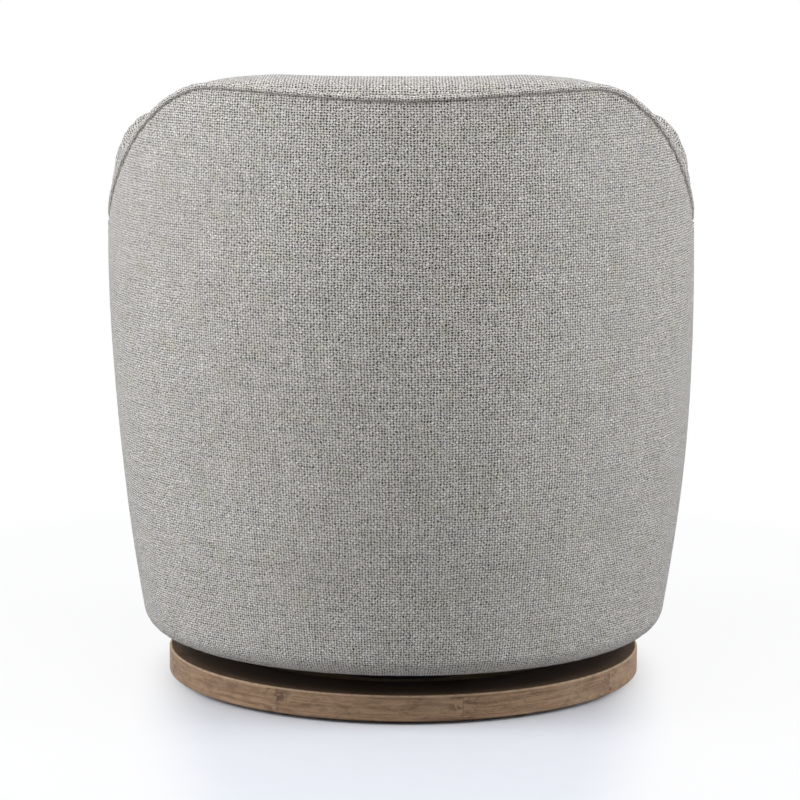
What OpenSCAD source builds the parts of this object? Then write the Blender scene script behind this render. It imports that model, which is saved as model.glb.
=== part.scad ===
// Swivel rocker: an upholstered barrel chair that turns and rocks on a round wood plinth.
// The origin is on the floor at the swivel axis, +Z is up, and the sitter faces -Y.
// Plan angles are counted from the rear: 0 is +Y, 90 is the sitter's left side (+X), 180 is the front.

/* [Shell] */
// Width and depth of the shell at its widest
shell_w = 764; // [734:2:794]
// Height of the widest part above the lower edge of the shell
widest_h = 490.5; // [460:0.5:494]
// Radius of the bulge of the sides, seen from behind
bulge_r = 2750; // [2400:10:3200]
// Fullness of the front corners in plan, where 2 is a circle
fullness = 2.8; // [2.5:0.1:3.1]
// Height of the back seam above the lower edge
back_seam_h = 733.5; // [708:0.5:758]
// Dip of the back seam at its middle
seam_dip = 8.5; // [0:0.5:12]
// Height of the arm seam above the lower edge
arm_seam_h = 520; // [512:0.5:540]
// Rise of the padded crown over the back seam
back_crown = 22; // [18:1:28]
// Rise of the padded crown over the arm seam
arm_crown = 80; // [70:1:90]
// Plan angle where the back seam starts to fall
fall_start_angle = 38.5; // [36:0.5:44]
// Plan angle where the arm seam is reached
fall_end_angle = 101; // [98:0.5:106]
// Plan angle of the vertical side seams
side_seam_angle = 89; // [86:1:92]
// Plan angle where the rounded nose of an arm starts
nose_start_angle = 128; // [126:1:130]
// Thickness of the padded arm
arm_t = 118; // [112:1:124]
// Thickness of the padded back
back_t = 128; // [122:1:136]
// Radius that the covers roll under at the lower edge
roll_r = 27; // [24:1:30]

/* [Seat] */
// Height of the top of the seat deck above the lower edge
deck_h = 235; // [225:1:245]
// Height of the seat cushion, without its crown
cushion_h = 112; // [100:1:125]
// Rise of the cushion's crown
cushion_crown = 26; // [18:1:34]
// Clearance between the front panel and the arm noses
front_clearance = 8; // [6:1:16]
// Setback of the front panel from the shell's plan curve
front_set = 14; // [10:1:18]
// Thickness of the deck pad under the cushion
deck_pad_t = 14; // [10:1:18]

/* [Covers and frame] */
// Thickness of the outer covers, fabric over padding
cover_t = 9; // [7:0.5:11]
// Thickness of the fibreboard behind the outer covers
board_t = 3; // [2:0.5:4]
// Depth of the frame, from the outside of the cover to the inside of the ribs
frame_d = 65.7; // [60:0.1:68]
// Thickness of the plywood
ply_t = 18; // [15:1:20]
// Radius of the welt cord on the top seam
welt_r = 4; // [3:0.5:5]
// Foam over the top rail
crown_foam = 45; // [40:1:50]
// Height of the top rail
rail_h = 28; // [24:1:34]
// Width of the frame's cross rails
cross_w = 45; // [40:1:50]
// Height of the frame's cross rails
cross_h = 34; // [30:1:40]
// Distance of the cross rails from the middle
cross_x = 76; // [72:1:78]
// Number of seat springs
seat_springs_n = 5; // [3:2:5]

/* [Plinth] */
// Outside diameter of the plinth
plinth_w = 620; // [600:5:630]
// Height of the plinth without its glides
plinth_h = 33; // [31:0.5:38]
// Height of the floor glides
glide_h = 4.5; // [3:0.5:6]
// Open reveal between the plinth and the shell
reveal = 27; // [25:0.5:32]
// Width of the plinth rim
rim_w = 78; // [70:1:86]
// Thickness of the plywood deck in the plinth
deck_t = 15; // [12:1:15]
// Number of floor glides
glides_n = 6; // [4:1:8]

/* [Swivel] */
// Radius of the lower swivel plate
lower_plate_r = 156; // [152:1:164]
// Radius of the upper swivel plate
upper_plate_r = 140; // [134:1:142]
// Thickness of the swivel plates and of the rocker's plates
plate_t = 4; // [3.5:0.5:4.5]
// Radius of the ball race
race_r = 116; // [112:1:122]
// Diameter of the bearing balls
ball_d = 8; // [7:0.5:8]
// Number of bearing balls
balls_n = 24; // [16:1:32]
// Radius of the king pin
king_r = 12; // [10:0.5:14]

/* [Rocker] */
// Rock of the seat, each way
rock_angle = 3.5; // [2:0.1:3.6]
// Height of the pivot above the cradle's base
pivot_h = 23; // [21:0.5:23]
// Radius of the pivot shaft
shaft_r = 7; // [6:0.5:7.5]
// Half width of the rocker frame, across its hangers
hanger_x = 96; // [92:1:98]
// Half depth of the rocker frame
rocker_y = 126; // [120:1:130]
// Mean radius of the rocker's coil springs
coil_r = 15; // [14:0.5:17]
// Wire diameter of the coil springs
coil_wire = 4.5; // [4:0.25:5]
// Turns of the coil springs
coil_turns = 5; // [4:1:5]

/* [Hidden] */
$fn = 64;

// Clearances
overrun = 1;
soft_gap = 0.8;
rail_gap = 2.6;
touch_gap = 0.3;
run_gap = 0.05;
hole_gap = 0.1;

// Colours
fabric_colour = [0.60, 0.58, 0.56];
welt_colour = [0.66, 0.65, 0.63];
wood_colour = [0.50, 0.40, 0.31];
ply_colour = [0.76, 0.64, 0.46];
steel_colour = [0.20, 0.20, 0.21];
bright_colour = [0.75, 0.76, 0.78];
rubber_colour = [0.08, 0.08, 0.08];
nylon_colour = [0.90, 0.89, 0.85];
board_colour = [0.52, 0.42, 0.30];
cloth_colour = [0.07, 0.07, 0.07];
felt_colour = [0.82, 0.80, 0.76];

// Heights of the base, from the floor up
rim_z = glide_h;
rim_top = rim_z + plinth_h;
deck_recess = 3.5;
deck_z = rim_z + deck_recess;
deck_top = deck_z + deck_t;
race_gap = plate_t;
upper_z = deck_top + plate_t + race_gap;
cradle_z = upper_z + plate_t;
cradle_top = cradle_z + plate_t;
pivot_z = cradle_top + pivot_h;

// Heights of the shell
shell_z = rim_top + reveal;
under_t = 3;
ring_z = shell_z + under_t + soft_gap;
ring_top = ring_z + ply_t;
widest_z = shell_z + widest_h;
deck_ring_top = shell_z + deck_h;
deck_ring_z = deck_ring_top - ply_t;
spring_wire = 4;
pad_z = deck_ring_top + spring_wire + soft_gap;
cushion_z = pad_z + deck_pad_t + soft_gap;

// Depths below the outer skin
shell_r = shell_w / 2;
board_d = cover_t + soft_gap;
rib_gap = 1.2;
rib_d = board_d + board_t + rib_gap;
pad_d = frame_d + soft_gap;
turn_d = 55;
ring_d = roll_r + soft_gap;
grid_angle = 6;
rows = 5;
arc_steps = 4;

// Seat and front
front_cover_t = 12;
front_steps = 20;
cushion_gap = 2;

function blend(low, high, u) = low + (high - low) * u;
function smooth_share(u) = let (v = min(1, max(0, u))) v * v * (3 - 2 * v);
function polar(a, r, z) = [r * sin(a), r * cos(a), z];

// The plan is a circle behind the swivel axis and a fuller curve before it
function plan_r(a) =
    let (s = abs(sin(a)), c = abs(cos(a)), n = cos(a) < 0 ? fullness : 2)
    shell_r / pow(pow(s, n) + pow(c, n), 1 / n);
function bulge(z) = pow(z - widest_z, 2) / (2 * bulge_r);
function skin_r(a, z) = plan_r(a) - bulge(z);
function at_depth(a, d, z) = polar(a, skin_r(a, z) - d, z);

// The top seam sags a little across the back and falls to the arms
dip_end_angle = 36;
arm_rise_start_angle = 50;
arm_rise_end_angle = 84;
function seam_lift(a) = seam_dip * smooth_share(abs(a) / dip_end_angle);
function seam_z(a) =
    let (fall = smooth_share((abs(a) - fall_start_angle) / (fall_end_angle - fall_start_angle)))
    shell_z + blend(back_seam_h - seam_dip + seam_lift(a), arm_seam_h, fall);
// The crown is level over the sag and stands higher over the arms
function crown_h(a) =
    let (rise = smooth_share((abs(a) - arm_rise_start_angle) / (arm_rise_end_angle - arm_rise_start_angle)))
    blend(back_crown - seam_lift(a), arm_crown, rise);
function crest_z(a) = seam_z(a) + crown_h(a);
function pad_t(a) = blend(back_t, arm_t, smooth_share(abs(a) / side_seam_angle));
back_crest_share = 0.4;
arm_crest_share = 0.39;
function crest_d(a) =
    blend(back_t * back_crest_share, arm_t * arm_crest_share, smooth_share(abs(a) / side_seam_angle));
rail_drop = 10;
function rail_top(a) = min(crest_z(a) - crown_foam, seam_z(a) - rail_drop);

function rail_high(a) = rail_top(a) - rail_gap;
// Levels of a wall, with the widest part among them where it is high enough, so that all layers bulge alike
function levels(low, high) =
    let (mid = high > widest_z + rail_drop ? widest_z : blend(low, high, rows / (2 * rows - 1)))
    concat(
        [for (k = [0 : rows]) blend(low, mid, k / rows)],
        [for (k = [1 : rows - 1]) blend(mid, high, k / (rows - 1))]
    );
function reversed(list) = [for (k = [len(list) - 1 : -1 : 0]) list[k]];

// Angles of a loft: both ends, and the shared grid between them
function grid(from, to) = concat(
    [from],
    [for (k = [floor(from / grid_angle) + 1 : ceil(to / grid_angle) - 1]) k * grid_angle],
    [to]
);

// Faces of an end of a loft: a strip between the first and the second half of its loop
function cap(n) = concat(
    [
        for (i = [0 : floor(n / 2) - 2])
            let (j = n - 1 - i)
            each [[i, i + 1, j], [i + 1, j - 1, j]]
    ],
    n % 2 == 1 ? [[for (k = [-1 : 1]) (n - 1) / 2 + k]] : []
);
function flipped(faces, by) = [for (f = faces) [f[2] + by, f[1] + by, f[0] + by]];

// A closed body through loops of points, each loop counterclockwise seen from the last one
module loft(loops) {
    n = len(loops[0]);
    last = len(loops) - 1;
    points = [for (loop = loops) each loop];
    sides = [
        for (k = [0 : last - 1], i = [0 : n - 1])
            let (j = (i + 1) % n, a = k * n + i, b = k * n + j)
            each [[a, a + n, b + n], [a, b + n, b]]
    ];
    polyhedron(points, concat(sides, cap(n), flipped(cap(n), last * n)));
}

// A round wire along a path, with its sides counted about the path
function unit(v) = v / norm(v);
module wire(path, r, sides, up) {
    last = len(path) - 1;
    loft([
        for (k = [0 : last])
            let (ahead = unit(path[min(k + 1, last)] - path[max(k - 1, 0)]))
            let (side = unit(cross(ahead, up)))
            let (over = cross(side, ahead))
            [
                for (i = [0 : sides - 1])
                    let (turn = -360 * (i + 0.5) / sides)
                    path[k] + r * (cos(turn) * side + sin(turn) * over)
            ]
    ]);
}

module spread(count, radius, first = 0) {
    for (k = [0 : count - 1]) rotate(first + k * 360 / count) translate([radius, 0, 0]) children();
}
module four(x, y) {
    for (sx = [-1, 1], sy = [-1, 1]) translate([sx * x, sy * y, 0]) children();
}

// Plinth
plinth_r = plinth_w / 2;
rim_in_r = plinth_r - rim_w;
rebate_w = 30;
rebate_r = rim_in_r + rebate_w;
top_ease = 2.5;
foot_ease = 1.5;
glide_r = 15;
glide_nail_r = 2;
glide_nail_h = 12;
glide_set_share = 0.35;
glide_ring_r = plinth_r - rim_w * glide_set_share;
screw_r = 2;
screw_head_r = 4.5;
screw_head_h = 3;
deck_screws_n = 8;
deck_screw_ring = rim_in_r + rebate_w / 2;
deck_screw_bite = 8;
deck_screw_h = deck_t + deck_screw_bite;
lower_screw_r = 2.5;
lower_head_r = 4.5;
lower_head_h = 2.5;
lower_screws_n = 4;
lower_screw_ring = (lower_plate_r + upper_plate_r + run_gap) / 2;
lower_screw_bite = 11;

module screw_down(r, head_r, head_h, length) {
    // Pan head above zero and shank below
    cylinder(r = head_r, h = head_h);
    translate([0, 0, -length]) cylinder(r = r, h = length);
}

module plinth_rim() {
    color(wood_colour)
    difference() {
        rotate_extrude() polygon([
            [rim_in_r, deck_top + touch_gap],
            [rebate_r, deck_top + touch_gap],
            [rebate_r, rim_z],
            [plinth_r - foot_ease, rim_z],
            [plinth_r, rim_z + foot_ease],
            [plinth_r, rim_top - top_ease],
            [plinth_r - top_ease, rim_top],
            [rim_in_r, rim_top]
        ]);
        spread(glides_n, glide_ring_r)
            translate([0, 0, rim_z - overrun])
            cylinder(r = glide_nail_r + hole_gap, h = glide_nail_h + 2 * overrun);
        spread(deck_screws_n, deck_screw_ring)
            translate([0, 0, deck_top - overrun])
            cylinder(r = screw_r + hole_gap, h = deck_screw_h - deck_t + 2 * overrun);
    }
}

module plinth_deck() {
    color(ply_colour)
    difference() {
        translate([0, 0, deck_z]) cylinder(r = rebate_r - touch_gap, h = deck_t);
        spread(deck_screws_n, deck_screw_ring) {
            translate([0, 0, deck_z - overrun])
                cylinder(r = screw_r + hole_gap, h = deck_t + 2 * overrun);
            translate([0, 0, deck_z - overrun])
                cylinder(r = screw_head_r + hole_gap, h = screw_head_h + overrun);
        }
        spread(lower_screws_n, lower_screw_ring, 45)
            translate([0, 0, deck_top - lower_screw_bite - overrun])
            cylinder(r = lower_screw_r + hole_gap, h = lower_screw_bite + 2 * overrun);
    }
}

module deck_screws() {
    color(bright_colour)
    spread(deck_screws_n, deck_screw_ring)
        translate([0, 0, deck_z]) {
            cylinder(r = screw_head_r, h = screw_head_h);
            cylinder(r = screw_r, h = deck_screw_h);
        }
}

module floor_glides() {
    color(rubber_colour)
    spread(glides_n, glide_ring_r) {
        cylinder(r = glide_r, h = glide_h);
        cylinder(r = glide_nail_r, h = glide_h + glide_nail_h);
    }
}

// Swivel bearing
ball_r = ball_d / 2;
ball_z = upper_z - race_gap / 2;
groove_r = ball_r + run_gap;
cage_t = 2;
cage_w = 2 * ball_d;
king_flange_r = 17;
king_flange_h = 3;
king_bore_r = 5;
king_step = 2;
king_foot_r = king_r - king_step;
king_flange_gap = 3;
cradle_eye_r = king_flange_r + king_flange_gap;
rivet_r = 4;
rivet_head_r = 8;
rivet_head_h = 3;
rivet_x = 66;
rivet_y = 50;

module race_groove() {
    translate([0, 0, ball_z]) rotate_extrude() translate([race_r, 0]) circle(r = groove_r);
}

module swivel_lower_plate() {
    color(steel_colour)
    difference() {
        translate([0, 0, deck_top]) cylinder(r = lower_plate_r, h = plate_t);
        race_groove();
        translate([0, 0, deck_top - overrun]) cylinder(r = king_foot_r, h = plate_t + 2 * overrun);
        spread(lower_screws_n, lower_screw_ring, 45)
            translate([0, 0, deck_top - overrun])
            cylinder(r = lower_screw_r + hole_gap, h = plate_t + 2 * overrun);
    }
}

module lower_plate_screws() {
    color(bright_colour)
    spread(lower_screws_n, lower_screw_ring, 45)
        translate([0, 0, deck_top + plate_t])
        screw_down(lower_screw_r, lower_head_r, lower_head_h, plate_t + lower_screw_bite);
}

module king_pin() {
    flange_z = cradle_z + touch_gap;
    color(bright_colour)
    difference() {
        union() {
            translate([0, 0, deck_top]) cylinder(r = king_foot_r, h = flange_z - deck_top);
            translate([0, 0, deck_top + plate_t]) cylinder(r = king_r, h = flange_z - deck_top - plate_t);
            translate([0, 0, flange_z]) cylinder(r = king_flange_r, h = king_flange_h);
        }
        translate([0, 0, deck_top - overrun])
            cylinder(r = king_bore_r, h = flange_z + king_flange_h - deck_top + 2 * overrun);
    }
}

module bearing_balls() {
    color(bright_colour)
    spread(balls_n, race_r) translate([0, 0, ball_z]) sphere(r = ball_r);
}

module ball_cage() {
    color(nylon_colour)
    difference() {
        translate([0, 0, ball_z - cage_t / 2]) cylinder(r = race_r + cage_w / 2, h = cage_t);
        translate([0, 0, ball_z - cage_t]) cylinder(r = race_r - cage_w / 2, h = 2 * cage_t);
        spread(balls_n, race_r)
            translate([0, 0, ball_z - cage_t])
            cylinder(r = ball_r + hole_gap, h = 2 * cage_t);
    }
}

module swivel_upper_plate() {
    color(steel_colour)
    difference() {
        translate([0, 0, upper_z]) cylinder(r = upper_plate_r, h = plate_t);
        race_groove();
        translate([0, 0, upper_z - overrun]) cylinder(r = king_r + run_gap, h = plate_t + 2 * overrun);
        four(rivet_x, rivet_y)
            translate([0, 0, upper_z - overrun]) cylinder(r = rivet_r, h = plate_t + 2 * overrun);
    }
}

// Rocker
cheek_gap = 4;
cheek_x = hanger_x + cheek_gap;
cradle_x = cheek_x + plate_t;
cradle_margin = 8;
cradle_y = rocker_y + cradle_margin;
eye_r = 2 * shaft_r;
cheek_foot_y = 58;
hanger_top_y = 62;
bush_wall = 2.5;
bush_flange_w = 6;
bush_flange_r = shaft_r + bush_flange_w;
collar_w = 6;
shaft_overhang = 2;
collar_wall = 5;
collar_r = shaft_r + collar_wall;
rocker_top = ring_top;
rocker_z = rocker_top - plate_t;
flange_drop = 26;
coil_x = 58;
coil_y = 90;
coil_rings = 8;
spigot_r = coil_r * cos(180 / coil_rings) - coil_wire / 2 - touch_gap;
spigot_h = 4;
stop_r = 11;
stop_x = 44;
stop_y = rocker_y - plate_t / 2;
bolt_r = 4;
bolt_head_r = 6.5;
bolt_head_h = 5.5;
bolt_x = cross_x;
bolt_y = 42;
nut_r = 7.5;
nut_h = 6.5;

module eye_plate(foot_y, foot_z) {
    // One upright ear: a taper from its foot to a round eye about the pivot
    rotate([90, 0, 90]) linear_extrude(plate_t) polygon([
        [-foot_y, foot_z],
        [foot_y, foot_z],
        [eye_r, pivot_z],
        [-eye_r, pivot_z]
    ]);
    translate([0, 0, pivot_z]) rotate([0, 90, 0]) cylinder(r = eye_r, h = plate_t);
}

module rocker_cradle() {
    color(steel_colour)
    difference() {
        union() {
            translate([-cradle_x, -cradle_y, cradle_z]) cube([2 * cradle_x, 2 * cradle_y, plate_t]);
            translate([cheek_x, 0, 0]) eye_plate(cheek_foot_y, cradle_top - plate_t / 2);
            translate([-cradle_x, 0, 0]) eye_plate(cheek_foot_y, cradle_top - plate_t / 2);
            four(coil_x, coil_y) translate([0, 0, cradle_top]) cylinder(r = spigot_r, h = spigot_h);
        }
        translate([0, 0, cradle_z - overrun]) cylinder(r = cradle_eye_r, h = plate_t + 2 * overrun);
        four(rivet_x, rivet_y)
            translate([0, 0, cradle_z - overrun]) cylinder(r = rivet_r, h = plate_t + 2 * overrun);
        translate([-cradle_x - overrun, 0, pivot_z])
            rotate([0, 90, 0]) cylinder(r = shaft_r + run_gap, h = 2 * (cradle_x + overrun));
    }
}

module cradle_rivets() {
    color(bright_colour)
    four(rivet_x, rivet_y) {
        translate([0, 0, upper_z]) cylinder(r = rivet_r, h = 2 * plate_t);
        translate([0, 0, cradle_top]) cylinder(r = rivet_head_r, h = rivet_head_h);
    }
}

module pivot_shaft() {
    half = cradle_x + collar_w + shaft_overhang;
    color(bright_colour)
    translate([-half, 0, pivot_z]) rotate([0, 90, 0]) cylinder(r = shaft_r, h = 2 * half);
}

module shaft_collars() {
    color(steel_colour)
    for (x = [cradle_x + touch_gap, -cradle_x - touch_gap - collar_w])
        translate([x, 0, pivot_z]) rotate([0, 90, 0]) difference() {
            cylinder(r = collar_r, h = collar_w);
            translate([0, 0, -overrun]) cylinder(r = shaft_r, h = collar_w + 2 * overrun);
        }
}

module bump_stops() {
    // The flange of the rocker frame just misses them at the end of the rock
    flange_z = rocker_top - flange_drop;
    low_z = pivot_z + (flange_z - pivot_z) * cos(rock_angle) - (rocker_y + run_gap) * sin(rock_angle);
    color(rubber_colour)
    four(stop_x, stop_y)
        translate([0, 0, cradle_top]) cylinder(r = stop_r, h = low_z - touch_gap - cradle_top);
}

coil_low = cradle_top + coil_wire / 2 + hole_gap;
coil_high = rocker_z - coil_wire / 2 - hole_gap;
coil_sides = 6;
coil_step = (coil_high - coil_low) / coil_turns;
echo(least_gap_of_the_coil_springs = coil_step - coil_wire);

module coil_spring(x, y) {
    color(bright_colour)
    translate([x, y, 0]) wire(
        [
            for (k = [0 : coil_turns * coil_rings])
                let (turn = -360 * k / coil_rings)
                polar(turn, coil_r, coil_low + coil_step * k / coil_rings)
        ],
        coil_wire / 2, coil_sides, [0, 0, 1]
    );
}
module spring_front_left() { coil_spring(coil_x, -coil_y); }
module spring_front_right() { coil_spring(-coil_x, -coil_y); }
module spring_rear_left() { coil_spring(coil_x, coil_y); }
module spring_rear_right() { coil_spring(-coil_x, coil_y); }

module rocker_frame() {
    flange_z = rocker_top - flange_drop;
    color(steel_colour)
    difference() {
        union() {
            translate([-hanger_x, -rocker_y, rocker_z]) cube([2 * hanger_x, 2 * rocker_y, plate_t]);
            for (y = [-rocker_y, rocker_y - plate_t])
                translate([-hanger_x, y, flange_z]) cube([2 * hanger_x, plate_t, flange_drop]);
            for (x = [-hanger_x, hanger_x - plate_t])
                translate([x, 0, 0]) eye_plate(hanger_top_y, rocker_z + plate_t / 2);
            four(coil_x, coil_y)
                translate([0, 0, rocker_z - spigot_h]) cylinder(r = spigot_r, h = spigot_h + plate_t / 2);
        }
        translate([-hanger_x - overrun, 0, pivot_z])
            rotate([0, 90, 0]) cylinder(r = shaft_r + bush_wall, h = 2 * (hanger_x + overrun));
        four(bolt_x, bolt_y)
            translate([0, 0, rocker_z - overrun]) cylinder(r = bolt_r + hole_gap, h = plate_t + 2 * overrun);
    }
}

module pivot_bushings() {
    flange_t = cheek_gap - touch_gap;
    color(nylon_colour)
    for (m = [0, 1]) mirror([m, 0, 0])
        translate([hanger_x - 2 * plate_t, 0, pivot_z]) rotate([0, 90, 0]) difference() {
            union() {
                cylinder(r = shaft_r + bush_wall, h = 2 * plate_t);
                translate([0, 0, 2 * plate_t]) cylinder(r = bush_flange_r, h = flange_t);
            }
            translate([0, 0, -overrun])
                cylinder(r = shaft_r + run_gap, h = 2 * plate_t + flange_t + 2 * overrun);
        }
}

module rocker_bolts() {
    color(bright_colour)
    four(bolt_x, bolt_y) {
        translate([0, 0, rocker_z - bolt_head_h]) cylinder(r = bolt_head_r, h = bolt_head_h);
        translate([0, 0, rocker_z]) cylinder(r = bolt_r, h = plate_t + cross_h + nut_h);
    }
}

module rocker_nuts() {
    color(bright_colour)
    four(bolt_x, bolt_y) translate([0, 0, ring_top + cross_h]) difference() {
        cylinder(r = nut_r, h = nut_h, $fn = 6);
        translate([0, 0, -overrun]) cylinder(r = bolt_r, h = nut_h + 2 * overrun);
    }
}

// Frame
ring_w = 150;
ring_in_r = shell_r - ring_w;
cross_bearing = 58;
cross_half = ring_in_r + cross_bearing;
rail_screw_r = 2.5;
rail_screw_bearing = 30;
rail_screw_y = ring_in_r + rail_screw_bearing;
rail_screw_bite = 22;
rail_screw_h = ply_t + rail_screw_bite;
rib_angles = [30, 54, 78, 102, 126];
deck_ring_w = 170;
deck_hole_r = shell_r - deck_ring_w;
wall_end_angle = nose_start_angle - 0.5;

// The front wall follows the plan curve between its two returns, which end beside the arm noses
inside_bulge = 12;
nose_in_r = plan_r(nose_start_angle) - arm_t - inside_bulge;
front_half_w = nose_in_r * sin(nose_start_angle) - front_clearance;
front_back_y = front_half_w;
function front_point(x, z, inset) = [
    x,
    -(shell_r * pow(1 - pow(abs(x) / shell_r, fullness), 1 / fullness) - bulge(z) - front_set - inset)
];
function front_curve(z, inset) =
    let (half = front_half_w - inset)
    [for (k = [0 : front_steps]) front_point(half * (2 * k / front_steps - 1), z, inset)];

// Outline of a horizontal board in the shell: along the wall to the noses, then the front
function plate_outline(wall_d, z) =
    let (inset = front_cover_t + soft_gap, side = front_half_w - inset, side_y = side / tan(wall_end_angle))
    concat(
        [for (a = grid(-wall_end_angle, wall_end_angle)) let (p = at_depth(a, wall_d, z)) [p[0], p[1]]],
        [[side, side_y]],
        reversed(front_curve(z, inset)),
        [[-side, side_y]]
    );

module frame_bottom_ring() {
    color(ply_colour)
    difference() {
        translate([0, 0, ring_z]) linear_extrude(ply_t) polygon(plate_outline(ring_d, ring_z));
        translate([0, 0, ring_z - overrun]) cylinder(r = ring_in_r, h = ply_t + 2 * overrun);
        four(cross_x, rail_screw_y)
            translate([0, 0, ring_z - overrun])
            cylinder(r = rail_screw_r + hole_gap, h = ply_t + 2 * overrun);
        four(cross_x, rail_screw_y)
            translate([0, 0, ring_z - overrun])
            cylinder(r = screw_head_r + hole_gap, h = screw_head_h + overrun);
    }
}

module frame_cross_rails() {
    color(wood_colour)
    difference() {
        for (x = [-cross_x, cross_x])
            translate([x - cross_w / 2, -cross_half, ring_top]) cube([cross_w, 2 * cross_half, cross_h]);
        four(bolt_x, bolt_y)
            translate([0, 0, ring_top - overrun]) cylinder(r = bolt_r + hole_gap, h = cross_h + 2 * overrun);
        four(cross_x, rail_screw_y)
            translate([0, 0, ring_top - overrun])
            cylinder(r = rail_screw_r + hole_gap, h = rail_screw_h - ply_t + 2 * overrun);
    }
}

module rail_screws() {
    color(bright_colour)
    four(cross_x, rail_screw_y) translate([0, 0, ring_z]) {
        cylinder(r = screw_head_r, h = screw_head_h);
        cylinder(r = rail_screw_r, h = rail_screw_h);
    }
}

module rib(a) {
    half = asin(ply_t / 2 / shell_r);
    ahead = abs(a) + grid_angle;
    high = blend(rail_high(a), rail_high(ahead), half / grid_angle) - rail_h - 2 * soft_gap;
    heights = levels(ring_top, high);
    outer = [for (z = heights) [min(skin_r(a - half, z), skin_r(a + half, z)) - rib_d, z]];
    inner = [for (z = heights) [max(skin_r(a - half, z), skin_r(a + half, z)) - frame_d, z]];
    rotate([0, 0, 90 - a])
        translate([0, ply_t / 2, 0])
        rotate([90, 0, 0])
        linear_extrude(ply_t)
        polygon(concat(outer, reversed(inner)));
}

module frame_ribs() {
    color(ply_colour) {
        rib(0);
        for (a = rib_angles) {
            rib(a);
            rib(-a);
        }
    }
}

module frame_top_rail() {
    color(ply_colour)
    loft([
        for (a = grid(-nose_start_angle, nose_start_angle))
            let (high = rail_high(a))
            [
                at_depth(a, frame_d, high - rail_h),
                at_depth(a, rib_d, high - rail_h),
                at_depth(a, rib_d, high),
                at_depth(a, frame_d, high)
            ]
    ]);
}

module shell_board() {
    color(board_colour)
    loft([
        for (a = grid(-nose_start_angle, nose_start_angle))
            let (heights = levels(ring_top + soft_gap, rail_high(a)))
            concat(
                [for (z = heights) at_depth(a, board_d, z)],
                [for (z = reversed(heights)) at_depth(a, board_d + board_t, z)]
            )
    ]);
}

module seat_deck_ring() {
    color(ply_colour)
    difference() {
        translate([0, 0, deck_ring_z]) linear_extrude(ply_t) polygon(plate_outline(pad_d, deck_ring_z));
        translate([0, 0, deck_ring_z - overrun]) cylinder(r = deck_hole_r, h = ply_t + 2 * overrun);
    }
}

// The wall of the front, bulged like the shell, with a return at each side
return_ease_share = 0.25;
function front_loop(z, inset, wall) =
    let (outer = front_half_w - inset)
    let (inner = outer - wall)
    let (inner_y = front_back_y + wall * return_ease_share)
    [
        for (p = concat(
            [[-outer, -front_back_y]],
            front_curve(z, inset),
            [[outer, -front_back_y], [inner, -inner_y]],
            reversed(front_curve(z, inset + wall)),
            [[-inner, -inner_y]]
        )) [p[0], p[1], z]
    ];
module front_wall(low, high, inset, wall) {
    loft([for (k = [0 : rows]) front_loop(blend(low, high, k / rows), inset, wall)]);
}

module front_board() {
    color(board_colour)
    front_wall(ring_top, deck_ring_z, front_cover_t + soft_gap, ply_t);
}

module front_cover() {
    color(fabric_colour)
    front_wall(shell_z, pad_z + deck_pad_t, 0, front_cover_t);
}

// Seat springs: bowed wire, folded from side to side, from the front of the deck ring to its rear
spring_pitch = 84;
fold_half = 26;
fold_half_length = 20;
clip_w = 30;
clip_d = 14;
spring_ring_bite = 14;
wave_steps = 4;
wire_sides = 4;

function spring_x(k) = (k - (seat_springs_n - 1) / 2) * spring_pitch;
function spring_half(k) =
    sqrt(pow(deck_hole_r, 2) - pow(abs(spring_x(k)) - fold_half / 2, 2)) + spring_ring_bite;

module seat_springs() {
    z = deck_ring_top + spring_wire / 2 + touch_gap / 2;
    color(steel_colour)
    for (s = [0 : seat_springs_n - 1]) {
        half = spring_half(s);
        folds = 2 * floor(half / fold_half_length / 2) + 1;
        wire(
            [
                for (k = [0 : folds * wave_steps])
                    let (u = k / (folds * wave_steps))
                    [spring_x(s) + fold_half * sin(180 * folds * u), blend(-half, half, u), z]
            ],
            spring_wire / 2, wire_sides, [0, 0, 1]
        );
    }
}

module spring_clips() {
    color(bright_colour)
    for (s = [0 : seat_springs_n - 1], m = [0, 1])
        mirror([0, m, 0])
        translate([spring_x(s) - clip_w / 2, spring_half(s) + spring_wire / 2 + touch_gap, deck_ring_top])
        cube([clip_w, clip_d, spring_wire]);
}

// Outline of the seat between the arms and out to the front
seat_ease = 4;
taper_start_angle = 112;
taper_end_angle = 131;
function seat_r(a, inset) =
    let (b = abs(a) > 180 ? 360 - abs(a) : abs(a))
    let (arm_in = plan_r(b) - pad_t(b) - inside_bulge - seat_ease - inset)
    let (wide_r = plan_r(taper_start_angle) - pad_t(taper_start_angle) - inside_bulge)
    let (wide = wide_r * sin(taper_start_angle))
    let (limit = blend(wide, front_half_w, smooth_share(
        (b - taper_start_angle) / (taper_end_angle - taper_start_angle))) - inset)
    b < taper_start_angle ? arm_in
        : b < nose_start_angle ? min(arm_in, limit / sin(b))
        : min(plan_r(b) - inset, limit / max(0.001, sin(b)));

seat_points = 60;
function seat_loop(inset, z) = [
    for (k = [seat_points - 1 : -1 : 0])
        let (a = k * 360 / seat_points)
        polar(a, seat_r(a, inset), z)
];

module deck_pad() {
    inset = front_cover_t + cushion_gap;
    color(felt_colour)
    translate([0, 0, pad_z]) linear_extrude(deck_pad_t)
        polygon(concat(
            [
                for (a = grid(-wall_end_angle, wall_end_angle))
                    let (p = polar(a, seat_r(a, inset), 0))
                    [p[0], p[1]]
            ],
            reversed(front_curve(pad_z, inset))
        ));
}

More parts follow.
